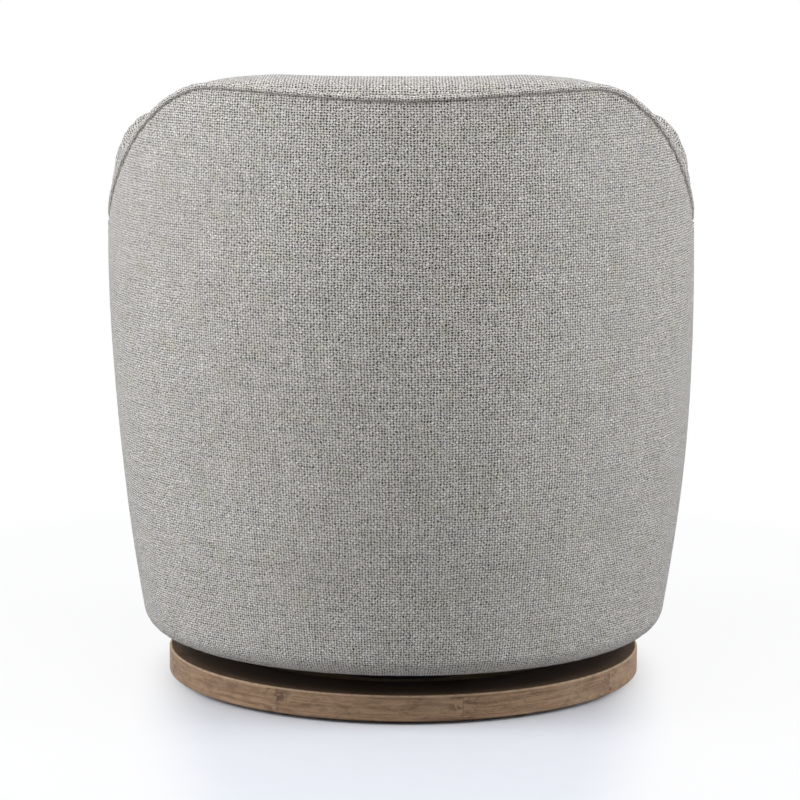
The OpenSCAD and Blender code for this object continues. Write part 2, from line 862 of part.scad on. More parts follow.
// Each row of the cushion: its inset from the outline and its height, as shares of the
// cushion's height, of its side's depth and of its crown
side_depth = 7;
side_shares = [[3.2, 0], [1, 0.06], [0.35, 0.16], [0.5, 0.35], [0, 0.55], [0.5, 0.75], [0.35, 0.92], [1, 1]];
crown_shares = [0.93, 0.8, 0.6, 0.35, 0.12];
crown_set_share = 0.1;
crown_power = 2.6;
module seat_cushion() {
    low = cushion_z;
    centre_y = -crown_set_share * shell_r;
    top_inset = cushion_gap + side_depth;
    top = low + cushion_h;
    side_loops = [
        for (s = side_shares)
            let (gap = s[0] > 0 ? cushion_gap : 0)
            seat_loop(gap + side_depth * s[0], low + cushion_h * s[1])
    ];
    edge = seat_loop(top_inset, 0);
    crown_loops = [
        for (s = crown_shares)
            let (z = top + cushion_crown * (1 - pow(s, crown_power)))
            [for (p = edge) [p[0] * s, blend(centre_y, p[1], s), z]]
    ];
    color(fabric_colour) loft(concat(side_loops, crown_loops));
}

module dust_cover() {
    // Thin black cloth under the frame, inside the turned edge of the covers
    cloth_t = 1;
    dust_gap = 4;
    outer_r = skin_r(0, shell_z) - turn_d - soft_gap;
    inner_r = norm([cradle_x, cradle_y]) + dust_gap;
    color(cloth_colour)
    translate([0, 0, ring_z - cloth_t - touch_gap / 2]) difference() {
        cylinder(r = outer_r, h = cloth_t);
        translate([0, 0, -overrun]) cylinder(r = inner_r, h = cloth_t + 2 * overrun);
    }
}

// Covers
seam_half_angle = asin((welt_r + soft_gap) / shell_r);
welt_sides = 6;
welt_d = 1.5;
side_welt_d = 3.5;
// Room for the welt over the cover, more where the seam is steep
function welt_room(a) =
    let (slope = (seam_z(a + 1) - seam_z(a - 1)) / (2 * shell_r * sin(1)))
    (welt_r + touch_gap) * sqrt(1 + slope * slope);

// Roll of a cover under the lower edge, from the underside up to the wall
function roll_points(a, side_d, low_t) = [
    for (k = [0 : arc_steps])
        let (turn = 90 * k / arc_steps)
        at_depth(a, roll_r - (roll_r - side_d) * sin(turn), shell_z + roll_r - (roll_r - low_t) * cos(turn))
];
function wall_up(a, d, high) =
    let (heights = levels(shell_z + roll_r, high))
    [for (k = [1 : len(heights) - 1]) at_depth(a, d, heights[k])];

module outer_back_cover() {
    edge = side_seam_angle - seam_half_angle;
    color(fabric_colour)
    loft([
        for (a = grid(-edge, edge))
            let (high = seam_z(a) - welt_room(a))
            concat(
                [at_depth(a, turn_d, shell_z)],
                roll_points(a, 0, 0),
                wall_up(a, 0, high),
                reversed(wall_up(a, cover_t, high)),
                reversed(roll_points(a, cover_t, under_t)),
                [at_depth(a, turn_d, shell_z + under_t)]
            )
    ]);
}

module top_welt() {
    edge = side_seam_angle - 2 * seam_half_angle;
    color(welt_colour)
    wire([for (a = grid(-edge, edge)) at_depth(a, welt_d, seam_z(a))], welt_r, welt_sides, [0, 0, 1]);
}

module side_welt() {
    low = shell_z + roll_r;
    high = seam_z(side_seam_angle) - 2 * welt_r;
    path = [
        for (k = [0 : 2 * rows])
            at_depth(side_seam_angle, side_welt_d, blend(low, high, k / (2 * rows)))
    ];
    wire(path, welt_r, welt_sides, [1, 0, 0]);
}
module side_welts() {
    color(welt_colour) for (m = [0, 1]) mirror([m, 0, 0]) side_welt();
}

// The crown: up from the seam to the crest, then over and down to the inside face
inside_drop = 72;
function crown_up(a, from_d, from_z) = [
    for (k = [1 : arc_steps])
        let (turn = 90 * k / arc_steps)
        at_depth(
            a,
            crest_d(a) - (crest_d(a) - from_d) * cos(turn),
            from_z + (crest_z(a) - from_z) * sin(turn)
        )
];
function crown_down(a) = [
    for (k = [1 : arc_steps])
        let (turn = 90 * k / arc_steps)
        at_depth(
            a,
            crest_d(a) + (pad_t(a) - crest_d(a)) * sin(turn),
            crest_z(a) - inside_drop * (1 - cos(turn))
        )
];
// The inside face leans in a little on its way down and swells between its ends
function inside_face(a, low) =
    let (high = crest_z(a) - inside_drop)
    [
        for (k = [1 : rows])
            let (u = k / rows)
            let (r = blend(skin_r(a, high), plan_r(a), u) - pad_t(a) - inside_bulge * sin(180 * u))
            polar(a, r, blend(high, low, u))
    ];

function pad_loop(a) =
    let (low = deck_ring_top + touch_gap)
    let (high = rail_top(a))
    let (lip_z = seam_z(a) + welt_room(a))
    concat(
        [for (k = [0 : rows]) at_depth(a, pad_d, blend(low, high, k / rows))],
        [
            at_depth(a, board_d, high),
            at_depth(a, board_d, lip_z),
            at_depth(a, welt_d, lip_z)
        ],
        crown_up(a, welt_d, lip_z),
        crown_down(a),
        inside_face(a, low)
    );

module back_pad() {
    edge = side_seam_angle + seam_half_angle / 2;
    color(fabric_colour) loft([for (a = grid(-edge, edge)) pad_loop(a)]);
}

// Arm wraps: one cover up the outside, over the crown and down the inside, on the frame's both sides
function arm_over(a) = concat(
    roll_points(a, 0, 0),
    wall_up(a, 0, seam_z(a)),
    crown_up(a, 0, seam_z(a)),
    crown_down(a)
);
function arm_loop(a) =
    let (low = deck_ring_top + touch_gap)
    let (high = rail_top(a))
    concat(
        [at_depth(a, turn_d, shell_z)],
        arm_over(a),
        inside_face(a, low),
        [for (k = [0 : rows - 1]) at_depth(a, pad_d, blend(low, high, k / rows))],
        [for (k = [0 : 2 * arc_steps - 1]) at_depth(a, blend(pad_d, cover_t, k / (2 * arc_steps - 1)), high)],
        reversed(wall_up(a, cover_t, high - touch_gap)),
        reversed(roll_points(a, cover_t, under_t)),
        [at_depth(a, turn_d, shell_z + under_t)]
    );

module arm_wrap() {
    loft([for (a = grid(side_seam_angle + seam_half_angle, nose_start_angle)) arm_loop(a)]);
}

// Arm fronts: the arm's section, narrowed along a half circle to the tip of the nose
nose_steps = 5;
nose_turn_angle = 80;
nose_fall_share = 0.5;
function nose_section(a) = concat(
    arm_over(a),
    inside_face(a, deck_ring_top),
    [polar(a, plan_r(a) - pad_t(a) - inside_bulge / 2, blend(deck_ring_top, shell_z, 0.5))],
    [polar(a, plan_r(a) - pad_t(a), shell_z)]
);
function nose_loop(k) =
    let (start = nose_start_angle + seam_half_angle / 4)
    let (turn = nose_turn_angle * k / nose_steps)
    let (half = arm_t / 2)
    let (mid = plan_r(nose_start_angle) - half)
    let (a = start + asin(half * sin(turn) / mid))
    let (fall = half * nose_fall_share * (1 - cos(turn)))
    [
        for (p = nose_section(start))
            let (r = norm([p[0], p[1]]))
            let (middle = mid - bulge(p[2]) / 2)
            let (height = max(0, p[2] - deck_ring_top) / (crest_z(start) - deck_ring_top))
            polar(a, middle + (r - middle) * cos(turn), p[2] - fall * height)
    ];
module arm_front() {
    loft([for (k = [0 : nose_steps]) nose_loop(k)]);
}
module arm_fronts() {
    color(fabric_colour) for (m = [0, 1]) mirror([m, 0, 0]) arm_front();
}
module arm_wrap_left() { color(fabric_colour) arm_wrap(); }
module arm_wrap_right() { color(fabric_colour) mirror([1, 0, 0]) arm_wrap(); }

plinth_rim();
plinth_deck();
deck_screws();
floor_glides();
swivel_lower_plate();
lower_plate_screws();
king_pin();
bearing_balls();
ball_cage();
swivel_upper_plate();
rocker_cradle();
cradle_rivets();
pivot_shaft();
shaft_collars();
bump_stops();
spring_front_left();
spring_front_right();
spring_rear_left();
spring_rear_right();
rocker_frame();
pivot_bushings();
rocker_bolts();
rocker_nuts();
frame_bottom_ring();
frame_cross_rails();
rail_screws();
frame_ribs();
frame_top_rail();
shell_board();
seat_deck_ring();
front_board();
seat_springs();
spring_clips();
deck_pad();
dust_cover();
outer_back_cover();
top_welt();
side_welts();
back_pad();
arm_wrap_left();
arm_wrap_right();
arm_fronts();
front_cover();
seat_cushion();
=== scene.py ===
import math

import bmesh
import bpy
import numpy as np
from mathutils import Matrix, Vector

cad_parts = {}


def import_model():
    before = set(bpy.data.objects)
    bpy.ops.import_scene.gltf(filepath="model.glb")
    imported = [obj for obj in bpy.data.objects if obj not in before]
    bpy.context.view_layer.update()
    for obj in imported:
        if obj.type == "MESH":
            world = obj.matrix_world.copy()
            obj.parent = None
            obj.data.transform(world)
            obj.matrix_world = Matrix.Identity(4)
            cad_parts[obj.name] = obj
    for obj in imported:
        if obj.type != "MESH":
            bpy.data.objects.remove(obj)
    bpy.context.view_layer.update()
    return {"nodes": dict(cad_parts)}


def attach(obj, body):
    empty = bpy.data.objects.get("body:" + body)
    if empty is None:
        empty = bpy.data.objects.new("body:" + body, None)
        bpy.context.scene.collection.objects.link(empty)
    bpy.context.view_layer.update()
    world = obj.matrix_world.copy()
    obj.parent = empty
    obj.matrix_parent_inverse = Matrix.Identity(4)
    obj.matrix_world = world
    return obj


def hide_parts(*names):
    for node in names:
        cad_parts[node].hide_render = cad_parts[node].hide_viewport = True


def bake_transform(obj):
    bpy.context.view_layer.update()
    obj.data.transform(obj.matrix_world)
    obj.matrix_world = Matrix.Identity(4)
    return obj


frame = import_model()
nodes = frame["nodes"]
scene = bpy.context.scene
scene.view_settings.view_transform = "Standard"

# ---- the chair's form, in millimetres
# Plan angles, in degrees, are counted from the rear: 0 is +Y, 90 is +X, 180 is the front.
SHELL_R = 382.0  # the shell where it is widest
SHELL_Z = 64.5  # its underside
WIDEST_Z = 555.0
BULGE_R = 2750.0  # the curve of its wall, from bottom to top
FULL = 2.8  # how square the plan is at the front; 2 is round
SIDE_SEAM = 89.0
PAD_END, ARM_START = SIDE_SEAM + 0.64, SIDE_SEAM + 0.62  # a hair of overlap lets no light through
NOSE_START = 128.0  # where an arm's rounded front begins
ARM_T, BACK_T = 118.0, 128.0
BACK_SEAM, ARM_SEAM = 725.0, 520.0  # the top seam's height over the underside
SEAM_DIP = 8.5  # of that seam, in mid back
BACK_CROWN, ARM_CROWN = 22.0, 80.0  # how far the padding stands over the seam
SETTLED = 10.0  # the crown's drop at the shoulders
ROLL_R = 27.0  # the rolled lower edge
TURN_D = 55.0  # how far the covers are turned in under it
WELT_R = 4.0
COVER_T = 9.0  # padding and cover over the boards
PAD_D = 66.5  # from the skin in to the back of the pads
PAD_GAP = 0.3  # room between the seat deck and the pads
DECK_TOP = 299.5
PAD_Z = 304.3  # underside of the deck pad
FRONT_SET = 14.0  # of the front panel
INSIDE_DROP = 72.0  # the crown's inner turn, in height
INSIDE_BULGE = 12.0  # swell of the inside back and arms
WELD_M = 1e-6  # points closer than this are one, in metres


def smooth(t):
    t = np.clip(t, 0, 1)
    return t * t * (3 - 2 * t)


def mix(a, b, t):
    return a + (b - a) * t


def plan_r(a):
    """The shell's plan: a half circle at the rear, and a squarer curve at the front."""
    s, c = np.abs(np.sin(np.radians(a))), np.abs(np.cos(np.radians(a)))
    n = np.where(np.cos(np.radians(a)) < 0, FULL, 2.0)
    return SHELL_R / (s**n + c**n) ** (1 / n)


def bulge(z):
    return (z - WIDEST_Z) ** 2 / (2 * BULGE_R)


def skin_r(a, z):
    return plan_r(a) - bulge(z)


FRONT_HALF = float((plan_r(NOSE_START) - ARM_T - INSIDE_BULGE) * np.sin(np.radians(NOSE_START))) - 8.0


def seam_lift(a):
    return SEAM_DIP * smooth(np.abs(a) / 36)


def seam_z(a):
    return SHELL_Z + mix(BACK_SEAM + seam_lift(a), ARM_SEAM, smooth((np.abs(a) - 38.5) / 62.5))


def crown_h(a):
    settled = SETTLED * smooth((np.abs(a) - 26) / 24) * (1 - smooth((np.abs(a) - 60) / 10))
    return mix(BACK_CROWN - seam_lift(a), ARM_CROWN, smooth((np.abs(a) - 50) / 34)) - settled


def crest_z(a):
    return seam_z(a) + crown_h(a)


def pad_t(a):
    return mix(BACK_T, ARM_T, smooth(np.abs(a) / SIDE_SEAM))


def crest_d(a):
    return mix(BACK_T * 0.4, ARM_T * 0.39, smooth(np.abs(a) / SIDE_SEAM))


def tuck(a):
    """How far the top seam is pulled in at the shoulders and arms."""
    return 2.5 * smooth((np.abs(a) - 58) / 18)


def sway(obj):
    """The upholstery's upper half sits a little to the left seen from behind, as in the photo."""
    co = coords(obj)
    co[:, 0] += 5 * smooth((co[:, 2] - 250) / 360)
    set_coords(obj, co)


def welt_room(a):
    """Half the height that the welt takes up, more where its seam runs steeply."""
    slope = (seam_z(a + 1) - seam_z(a - 1)) / (2 * SHELL_R * math.sin(math.radians(1)))
    return (WELT_R + 0.3) * np.sqrt(1 + slope**2)


def place(a, r, z):
    a = np.radians(a)
    return np.stack(np.broadcast_arrays(r * np.sin(a), r * np.cos(a), z), -1)


def ripple(a, z, seed, size):
    """A smooth, repeatable unevenness of cloth over foam, about -1 to 1."""
    rng = np.random.default_rng(seed)
    total = 0.0
    for _ in range(7):
        fa, fz = rng.uniform(-1, 1, 2) / size
        total = total + np.sin(np.radians(a) * SHELL_R * fa + z * fz + rng.uniform(0, 6.28))
    return total / 3.5


# ---- mesh helpers
def new_object(name, mesh):
    obj = bpy.data.objects.new(name, mesh)
    scene.collection.objects.link(obj)
    return obj


def mesh_from(name, points, faces, uvs=None, smooth_faces=True):
    mesh = bpy.data.meshes.new(name)
    mesh.from_pydata((np.asarray(points) / 1000).tolist(), [], faces)
    if uvs is not None:
        layer = mesh.uv_layers.new(name="Weave")
        layer.data.foreach_set("uv", (np.asarray(uvs) / 1000).astype(np.float32).ravel())
    if smooth_faces:
        mesh.polygons.foreach_set("use_smooth", [True] * len(mesh.polygons))
    mesh.update()
    return new_object(name, mesh)


def skin(name, loops, uv_u=None, uv_v=None, closed=True, caps=True):
    """A surface through loops of points, shape (loops, points, 3), with cloth coordinates in mm."""
    loops = np.asarray(loops, float)
    nu, nv = loops.shape[:2]
    faces, uvs = [], []
    if uv_v is None:
        step = np.linalg.norm(np.diff(loops, axis=1, append=loops[:, :1]), axis=2)
        uv_v = np.concatenate([np.zeros((nu, 1)), np.cumsum(step, 1)], 1)
    elif uv_v.shape[1] == nv:
        last = uv_v[:, -1:] + np.linalg.norm(loops[:, :1] - loops[:, -1:], axis=2)
        uv_v = np.concatenate([uv_v, last], 1)
    if uv_u is None:
        step = np.linalg.norm(np.diff(loops, axis=0), axis=2).mean(1)
        uv_u = np.repeat(np.concatenate([[0], np.cumsum(step)])[:, None], nv + 1, 1)
    elif uv_u.shape[1] == nv:
        uv_u = np.concatenate([uv_u, uv_u[:, :1]], 1)
    for i in range(nu - 1):
        for j in range(nv if closed else nv - 1):
            k = (j + 1) % nv
            faces.append((i * nv + j, (i + 1) * nv + j, (i + 1) * nv + k, i * nv + k))
            for p, q in ((i, j), (i + 1, j), (i + 1, j + 1), (i, j + 1)):
                uvs.append((uv_u[p, q], uv_v[p, q]))
    if closed and caps:
        for i, order in ((0, range(nv)), (nu - 1, range(nv - 1, -1, -1))):
            faces.append(tuple(i * nv + j for j in order))
            uvs += [(math.hypot(loops[i, j, 0], loops[i, j, 1]), loops[i, j, 2]) for j in order]
    return mesh_from(name, loops.reshape(-1, 3), faces, uvs)


def changed(obj, change):
    bm = bmesh.new()
    bm.from_mesh(obj.data)
    change(bm)
    bm.to_mesh(obj.data)
    bm.free()
    return obj


def outward(obj):
    """Turns the faces of a closed piece outwards."""
    return changed(obj, lambda bm: bmesh.ops.recalc_face_normals(bm, faces=bm.faces))


def weld(obj):
    """Joins the points where a ring's end meets its start."""
    return changed(obj, lambda bm: bmesh.ops.remove_doubles(bm, verts=bm.verts, dist=WELD_M))


def tube_loops(path, r, sides=12, up=(0, 0, 1), closed=False):
    """Rings of points round a path; up must never run along it."""
    path = np.asarray(path, float)
    if closed:
        ahead = np.roll(path, -1, 0) - np.roll(path, 1, 0)
    else:
        ahead = np.gradient(path, axis=0)
    ahead /= np.linalg.norm(ahead, axis=1, keepdims=True)
    side = np.cross(ahead, up)
    side /= np.linalg.norm(side, axis=1, keepdims=True)
    over = np.cross(side, ahead)
    turn = np.arange(sides) * 2 * np.pi / sides
    r = np.broadcast_to(r, (len(path),))[:, None, None]
    ring = np.cos(turn)[None, :, None] * side[:, None] + np.sin(turn)[None, :, None] * over[:, None]
    return path[:, None] + r * ring


def tube(name, path, r, sides=12, up=(0, 0, 1), closed=False):
    loops = tube_loops(path, r, sides, up, closed)
    if closed:
        loops = np.concatenate([loops, loops[:1]])
    obj = skin(name, loops, caps=not closed)
    if closed:
        weld(obj)
    return outward(obj)


def join(name, parts):
    bpy.ops.object.select_all(action="DESELECT")
    for p in parts:
        p.select_set(True)
    bpy.context.view_layer.objects.active = parts[0]
    bpy.ops.object.join()
    obj = bpy.context.view_layer.objects.active
    obj.name = name
    obj.data.name = name
    return obj


def coords(obj):
    co = np.zeros(len(obj.data.vertices) * 3)
    obj.data.vertices.foreach_get("co", co)
    return co.reshape(-1, 3) * 1000


def set_coords(obj, co):
    obj.data.vertices.foreach_set("co", (np.asarray(co) / 1000).ravel())
    obj.data.update()


def wrapped(points, arm_centre=0.0, from_inside=False):
    """Cloth coordinates for a piece that goes over the crown: round the plan, and up and over.

    The threads run level on the outside wall, or on the inside wall with from_inside.
    """
    a = np.degrees(np.arctan2(points[..., 0], points[..., 1]))
    r = np.hypot(points[..., 0], points[..., 1])
    z = points[..., 2]
    turn_drop, turn_r = 34, 48
    mid = crest_z(a) - turn_drop
    e = (skin_r(a, z) - r) - crest_d(a)
    h = z - mid
    phi = np.where(h > 0, np.arctan2(np.maximum(h, 0), -e), np.where(e < 0, 0, np.pi))
    v = np.where(h > 0, mid + turn_r * phi, np.where(e < 0, z, mid + turn_r * np.pi - h))
    if from_inside:
        v = v - 2 * mid
    return np.radians(a - arm_centre) * (SHELL_R - ARM_T * phi / np.pi), v


def cushion_uv(obj):
    """Cloth coordinates for a boxed cushion: flat on its top and bottom, round its sides."""
    me = obj.data
    co = coords(obj)
    level, side_r = 0.62, 290
    layer = me.uv_layers.get("Weave") or me.uv_layers.new(name="Weave")
    uvs = np.zeros((len(me.loops), 2), np.float32)
    for p in me.polygons:
        ids = [me.loops[i].vertex_index for i in p.loop_indices]
        pts = co[ids]
        if abs(p.normal.z) > level:
            uv = pts[:, :2]
        else:
            a = np.arctan2(pts[:, 0], -pts[:, 1])
            if a.max() - a.min() > 3:
                a = np.where(a < 0, a + 2 * np.pi, a)
            uv = np.stack([a * side_r, pts[:, 2]], 1)
        uvs[list(p.loop_indices)] = uv / 1000
    layer.data.foreach_set("uv", uvs.ravel())


def inflate(obj, held, cap, voxel=6.0, pressure=4.0, frames=20):
    """Fills a closed body with cloth pressure.

    held(points) marks the sewn points and cap(points) limits the travel, both in mm.
    """
    bpy.context.view_layer.objects.active = obj
    remesh = obj.modifiers.new("remesh", "REMESH")
    remesh.mode = "VOXEL"
    remesh.voxel_size = voxel / 1000
    remesh.use_smooth_shade = True
    apply_all(obj)
    rest = coords(obj)
    fixed = held(rest)
    group = obj.vertex_groups.new(name="sewn")
    group.add(np.nonzero(fixed)[0].tolist(), 1.0, "REPLACE")
    cloth = obj.modifiers.new("cloth", "CLOTH")
    s = cloth.settings
    s.quality = 5
    s.mass = 0.3
    s.tension_stiffness = 15
    s.compression_stiffness = 15
    s.bending_stiffness = 0.5
    s.use_pressure = True
    s.uniform_pressure_force = pressure
    s.vertex_group_mass = "sewn"
    s.effector_weights.gravity = 0
    cloth.collision_settings.use_collision = False
    cloth.collision_settings.use_self_collision = False
    cloth.point_cache.frame_start = 1
    cloth.point_cache.frame_end = frames
    for f in range(1, frames + 1):
        scene.frame_set(f)
    apply_all(obj)
    scene.frame_set(1)
    now = coords(obj)
    move = now - rest
    length = np.linalg.norm(move, axis=1, keepdims=True)
    limit = cap(rest)[:, None]
    soft = limit * np.tanh(length / np.maximum(limit, 1e-6))
    set_coords(obj, rest + move * np.where(length > 1e-9, soft / np.maximum(length, 1e-9), 0))
    obj.vertex_groups.clear()


def apply_all(obj):
    depsgraph = bpy.context.evaluated_depsgraph_get()
    shown = obj.evaluated_get(depsgraph)
    made = bpy.data.meshes.new_from_object(shown, preserve_all_data_layers=True, depsgraph=depsgraph)
    obj.modifiers.clear()
    old = obj.data
    obj.data = made
    bpy.data.meshes.remove(old)
    obj.data.name = obj.name
    obj.data.polygons.foreach_set("use_smooth", [True] * len(obj.data.polygons))


def subdivide(obj, levels=1):
    m = obj.modifiers.new("finer", "SUBSURF")
    m.levels = m.render_levels = levels
    apply_all(obj)


# ---- materials
class Graph:
    """Short names for the nodes of one material."""

    def __init__(self, name):
        self.material = bpy.data.materials.new(name)
        self.material.use_nodes = True
        self.tree = self.material.node_tree
        self.tree.nodes.clear()
        self.out = self.tree.nodes.new("ShaderNodeOutputMaterial")
        self.shader = self.tree.nodes.new("ShaderNodeBsdfPrincipled")
        self.tree.links.new(self.shader.outputs[0], self.out.inputs["Surface"])

    def node(self, kind, **settings):
        n = self.tree.nodes.new("ShaderNode" + kind)
        for k, v in settings.items():
            setattr(n, k, v)
        return n

    def put(self, value, socket):
        if isinstance(value, bpy.types.NodeSocket):
            self.tree.links.new(value, socket)
        else:
            socket.default_value = value

    def math(self, op, a, b=0.0):
        n = self.node("Math", operation=op)
        for value, socket in zip((a, b), n.inputs):
            self.put(value, socket)
        return n.outputs[0]

    def add(self, a, b):
        return self.math("ADD", a, b)

    def mul(self, a, b):
        return self.math("MULTIPLY", a, b)

    def remap(self, value, lo, hi, to_lo=0.0, to_hi=1.0):
        n = self.node("MapRange", interpolation_type="SMOOTHSTEP")
        for v, socket in zip((value, lo, hi, to_lo, to_hi), n.inputs):
            self.put(v, socket)
        return n.outputs[0]

    def vector(self, x, y, z=0.0):
        n = self.node("CombineXYZ")
        for v, s in zip((x, y, z), n.inputs):
            self.put(v, s)
        return n.outputs[0]

    def split(self, v):
        n = self.node("SeparateXYZ")
        self.put(v, n.inputs[0])
        return n.outputs

    def noise(self, vector, scale, detail=2.0, rough=0.5, distortion=0.0):
        n = self.node("TexNoise")
        self.put(vector, n.inputs["Vector"])
        n.inputs["Scale"].default_value = scale
        n.inputs["Detail"].default_value = detail
        n.inputs["Roughness"].default_value = rough
        n.inputs["Distortion"].default_value = distortion
        return n.outputs["Fac"]

    def cell(self, vector):
        n = self.node("TexWhiteNoise", noise_dimensions="3D")
        self.put(vector, n.inputs["Vector"])
        return n.outputs["Value"]

    def offset(self, vector, shift):
        n = self.node("VectorMath", operation="ADD")
        self.put(vector, n.inputs[0])
        n.inputs[1].default_value = (shift, shift, shift)
        return n.outputs["Vector"]

    def object_point(self):
        return self.node("TexCoord").outputs["Object"]

    def cloth_point(self):
        return self.node("UVMap", uv_map="Weave").outputs["UV"]

    def colour(self, fac, a, b):
        n = self.node("Mix", data_type="RGBA", clamp_factor=True)
        self.put(fac, n.inputs[0])
        self.put(a, n.inputs[6])
        self.put(b, n.inputs[7])
        return n.outputs[2]

    def scale_colour(self, colour, fac):
        n = self.node("Mix", data_type="RGBA", blend_type="MULTIPLY")
        n.inputs[0].default_value = 1.0
        self.put(colour, n.inputs[6])
        grey = self.node("CombineColor")
        for s in grey.inputs:
            self.put(fac, s)
        self.put(grey.outputs[0], n.inputs[7])
        return n.outputs[2]

    def bump(self, height, distance, strength=1.0):
        n = self.node("Bump")
        n.inputs["Strength"].default_value = strength
        n.inputs["Distance"].default_value = distance
        self.put(height, n.inputs["Height"])
        return n.outputs[0]

    def finish(self, colour, rough, normal=None, **fixed):
        self.put(colour, self.shader.inputs["Base Color"])
        self.put(rough, self.shader.inputs["Roughness"])
        if normal is not None:
            self.put(normal, self.shader.inputs["Normal"])
        for k, v in fixed.items():
            self.shader.inputs[k.replace("_", " ")].default_value = v
        return self.material


def srgb(*channels):
    """A colour given in 0 to 255, as the linear one that the shaders take."""
    lit = ((c / 255 / 12.92 if c <= 10 else ((c / 255 + 0.055) / 1.055) ** 2.4) for c in channels)
    return (*lit, 1.0)


def weave(name, tone=1.0, warp=3.85, weft=3.2, relief=0.0008):
    """Coarse plain-woven cloth: crossing yarns with slubs, painted shade in the pits between them, painted
    shading across each yarn, and soft streaks.

    warp and weft are the spacings of the yarns, in mm.
    """
    g = Graph(name)
    point = g.cloth_point()
    drift = g.noise(point, 30.0, 2.0)
    shake = g.noise(point, 250.0, 1.0)
    jolt = g.noise(g.offset(point, 3.0), 250.0, 1.0)
    u, v, _ = g.split(point)
    u = g.add(u, g.add(g.mul(g.add(drift, -0.5), 0.0040), g.mul(g.add(shake, -0.5), 0.0042)))
    v = g.add(v, g.add(g.mul(g.add(drift, -0.5), -0.0036), g.mul(g.add(jolt, -0.5), 0.0042)))
    x = g.mul(u, 1000 / warp)
    y = g.mul(v, 1000 / weft)
    sx = g.math("SINE", g.mul(x, math.pi))
    sy = g.math("SINE", g.mul(y, math.pi))
    ax = g.math("ABSOLUTE", sx)
    ay = g.math("ABSOLUTE", sy)
    warp_up = g.remap(g.mul(sx, sy), -0.22, 0.22)
    yarn = g.add(g.mul(ax, warp_up), g.mul(ay, g.math("SUBTRACT", 1.0, warp_up)))
    warp_id = g.math("FLOOR", x)
    weft_id = g.math("FLOOR", y)
    slub_w = g.noise(g.vector(g.mul(warp_id, 3.7), g.mul(v, 75.0)), 1.0, 2.0, 0.6)
    slub_f = g.noise(g.vector(g.mul(u, 75.0), g.mul(weft_id, 3.3), 7.0), 1.0, 2.0, 0.6)
    slub = g.add(g.mul(slub_w, warp_up), g.mul(slub_f, g.math("SUBTRACT", 1.0, warp_up)))
    corner = g.cell(g.vector(g.math("FLOOR", g.add(x, 0.5)), g.math("FLOOR", g.add(y, 0.5))))
    fibre = g.noise(g.vector(g.mul(u, 900.0), g.mul(v, 900.0)), 1.0, 2.0, 0.7)
    hole = g.mul(g.math("SUBTRACT", 1.0, ax), g.math("SUBTRACT", 1.0, ay))
    open_weave = g.noise(point, 150.0, 2.0, 0.6)
    gap = g.add(g.mul(corner, 0.9), g.mul(open_weave, 1.5))
    # Painted shade: the pits between the yarns, turned near black further down.
    pit = g.remap(g.mul(hole, g.add(gap, 0.05)), 0.07, 0.36)
    height = g.math("SUBTRACT", g.mul(g.math("POWER", yarn, 0.6), g.add(0.5, slub)), g.mul(pit, 0.7))
    fleck = g.mul(g.remap(fibre, 0.54, 0.66), g.remap(slub, 0.42, 0.60))
    body = g.colour(warp_up, srgb(204, 198, 192), srgb(186, 181, 175))
    body = g.colour(g.mul(fleck, 0.9), body, srgb(250, 248, 243))
    tint = g.remap(g.noise(g.offset(point, 9.0), 26.0, 2.0, 0.6), 0.52, 0.66)
    body = g.colour(g.mul(tint, 0.3), body, srgb(186, 183, 160))
    streak = g.noise(g.vector(g.mul(u, 130.0), g.mul(v, 14.0)), 1.0, 2.0)
    band = g.noise(g.vector(g.mul(u, 12.0), g.mul(v, 120.0), 5.0), 1.0, 2.0)
    cloud = g.noise(point, 9.0, 2.0)
    shade = g.add(g.mul(streak, 0.34), g.add(g.mul(band, 0.24), g.mul(cloud, 0.10)))
    # Painted shading: each yarn lighter on its crown than at its sides.
    yarn_crown_light = g.mul(g.remap(yarn, 0.1, 0.8), 0.34)
    shade = g.add(shade, g.add(g.mul(fibre, 0.62), g.add(g.mul(slub, 0.42), yarn_crown_light)))
    colour = g.scale_colour(body, g.mul(shade, tone))
    # The painted shade in the pits.
    colour = g.colour(g.mul(pit, 0.95), colour, srgb(46, 44, 42))
    normal = g.bump(g.add(height, g.mul(fibre, 0.2)), relief, 0.9)
    rough = g.remap(height, 0.2, 0.9, 0.96, 0.86)
    return g.finish(colour, rough, normal, Sheen_Weight=0.30, Sheen_Roughness=0.4, Specular_IOR_Level=0.25)


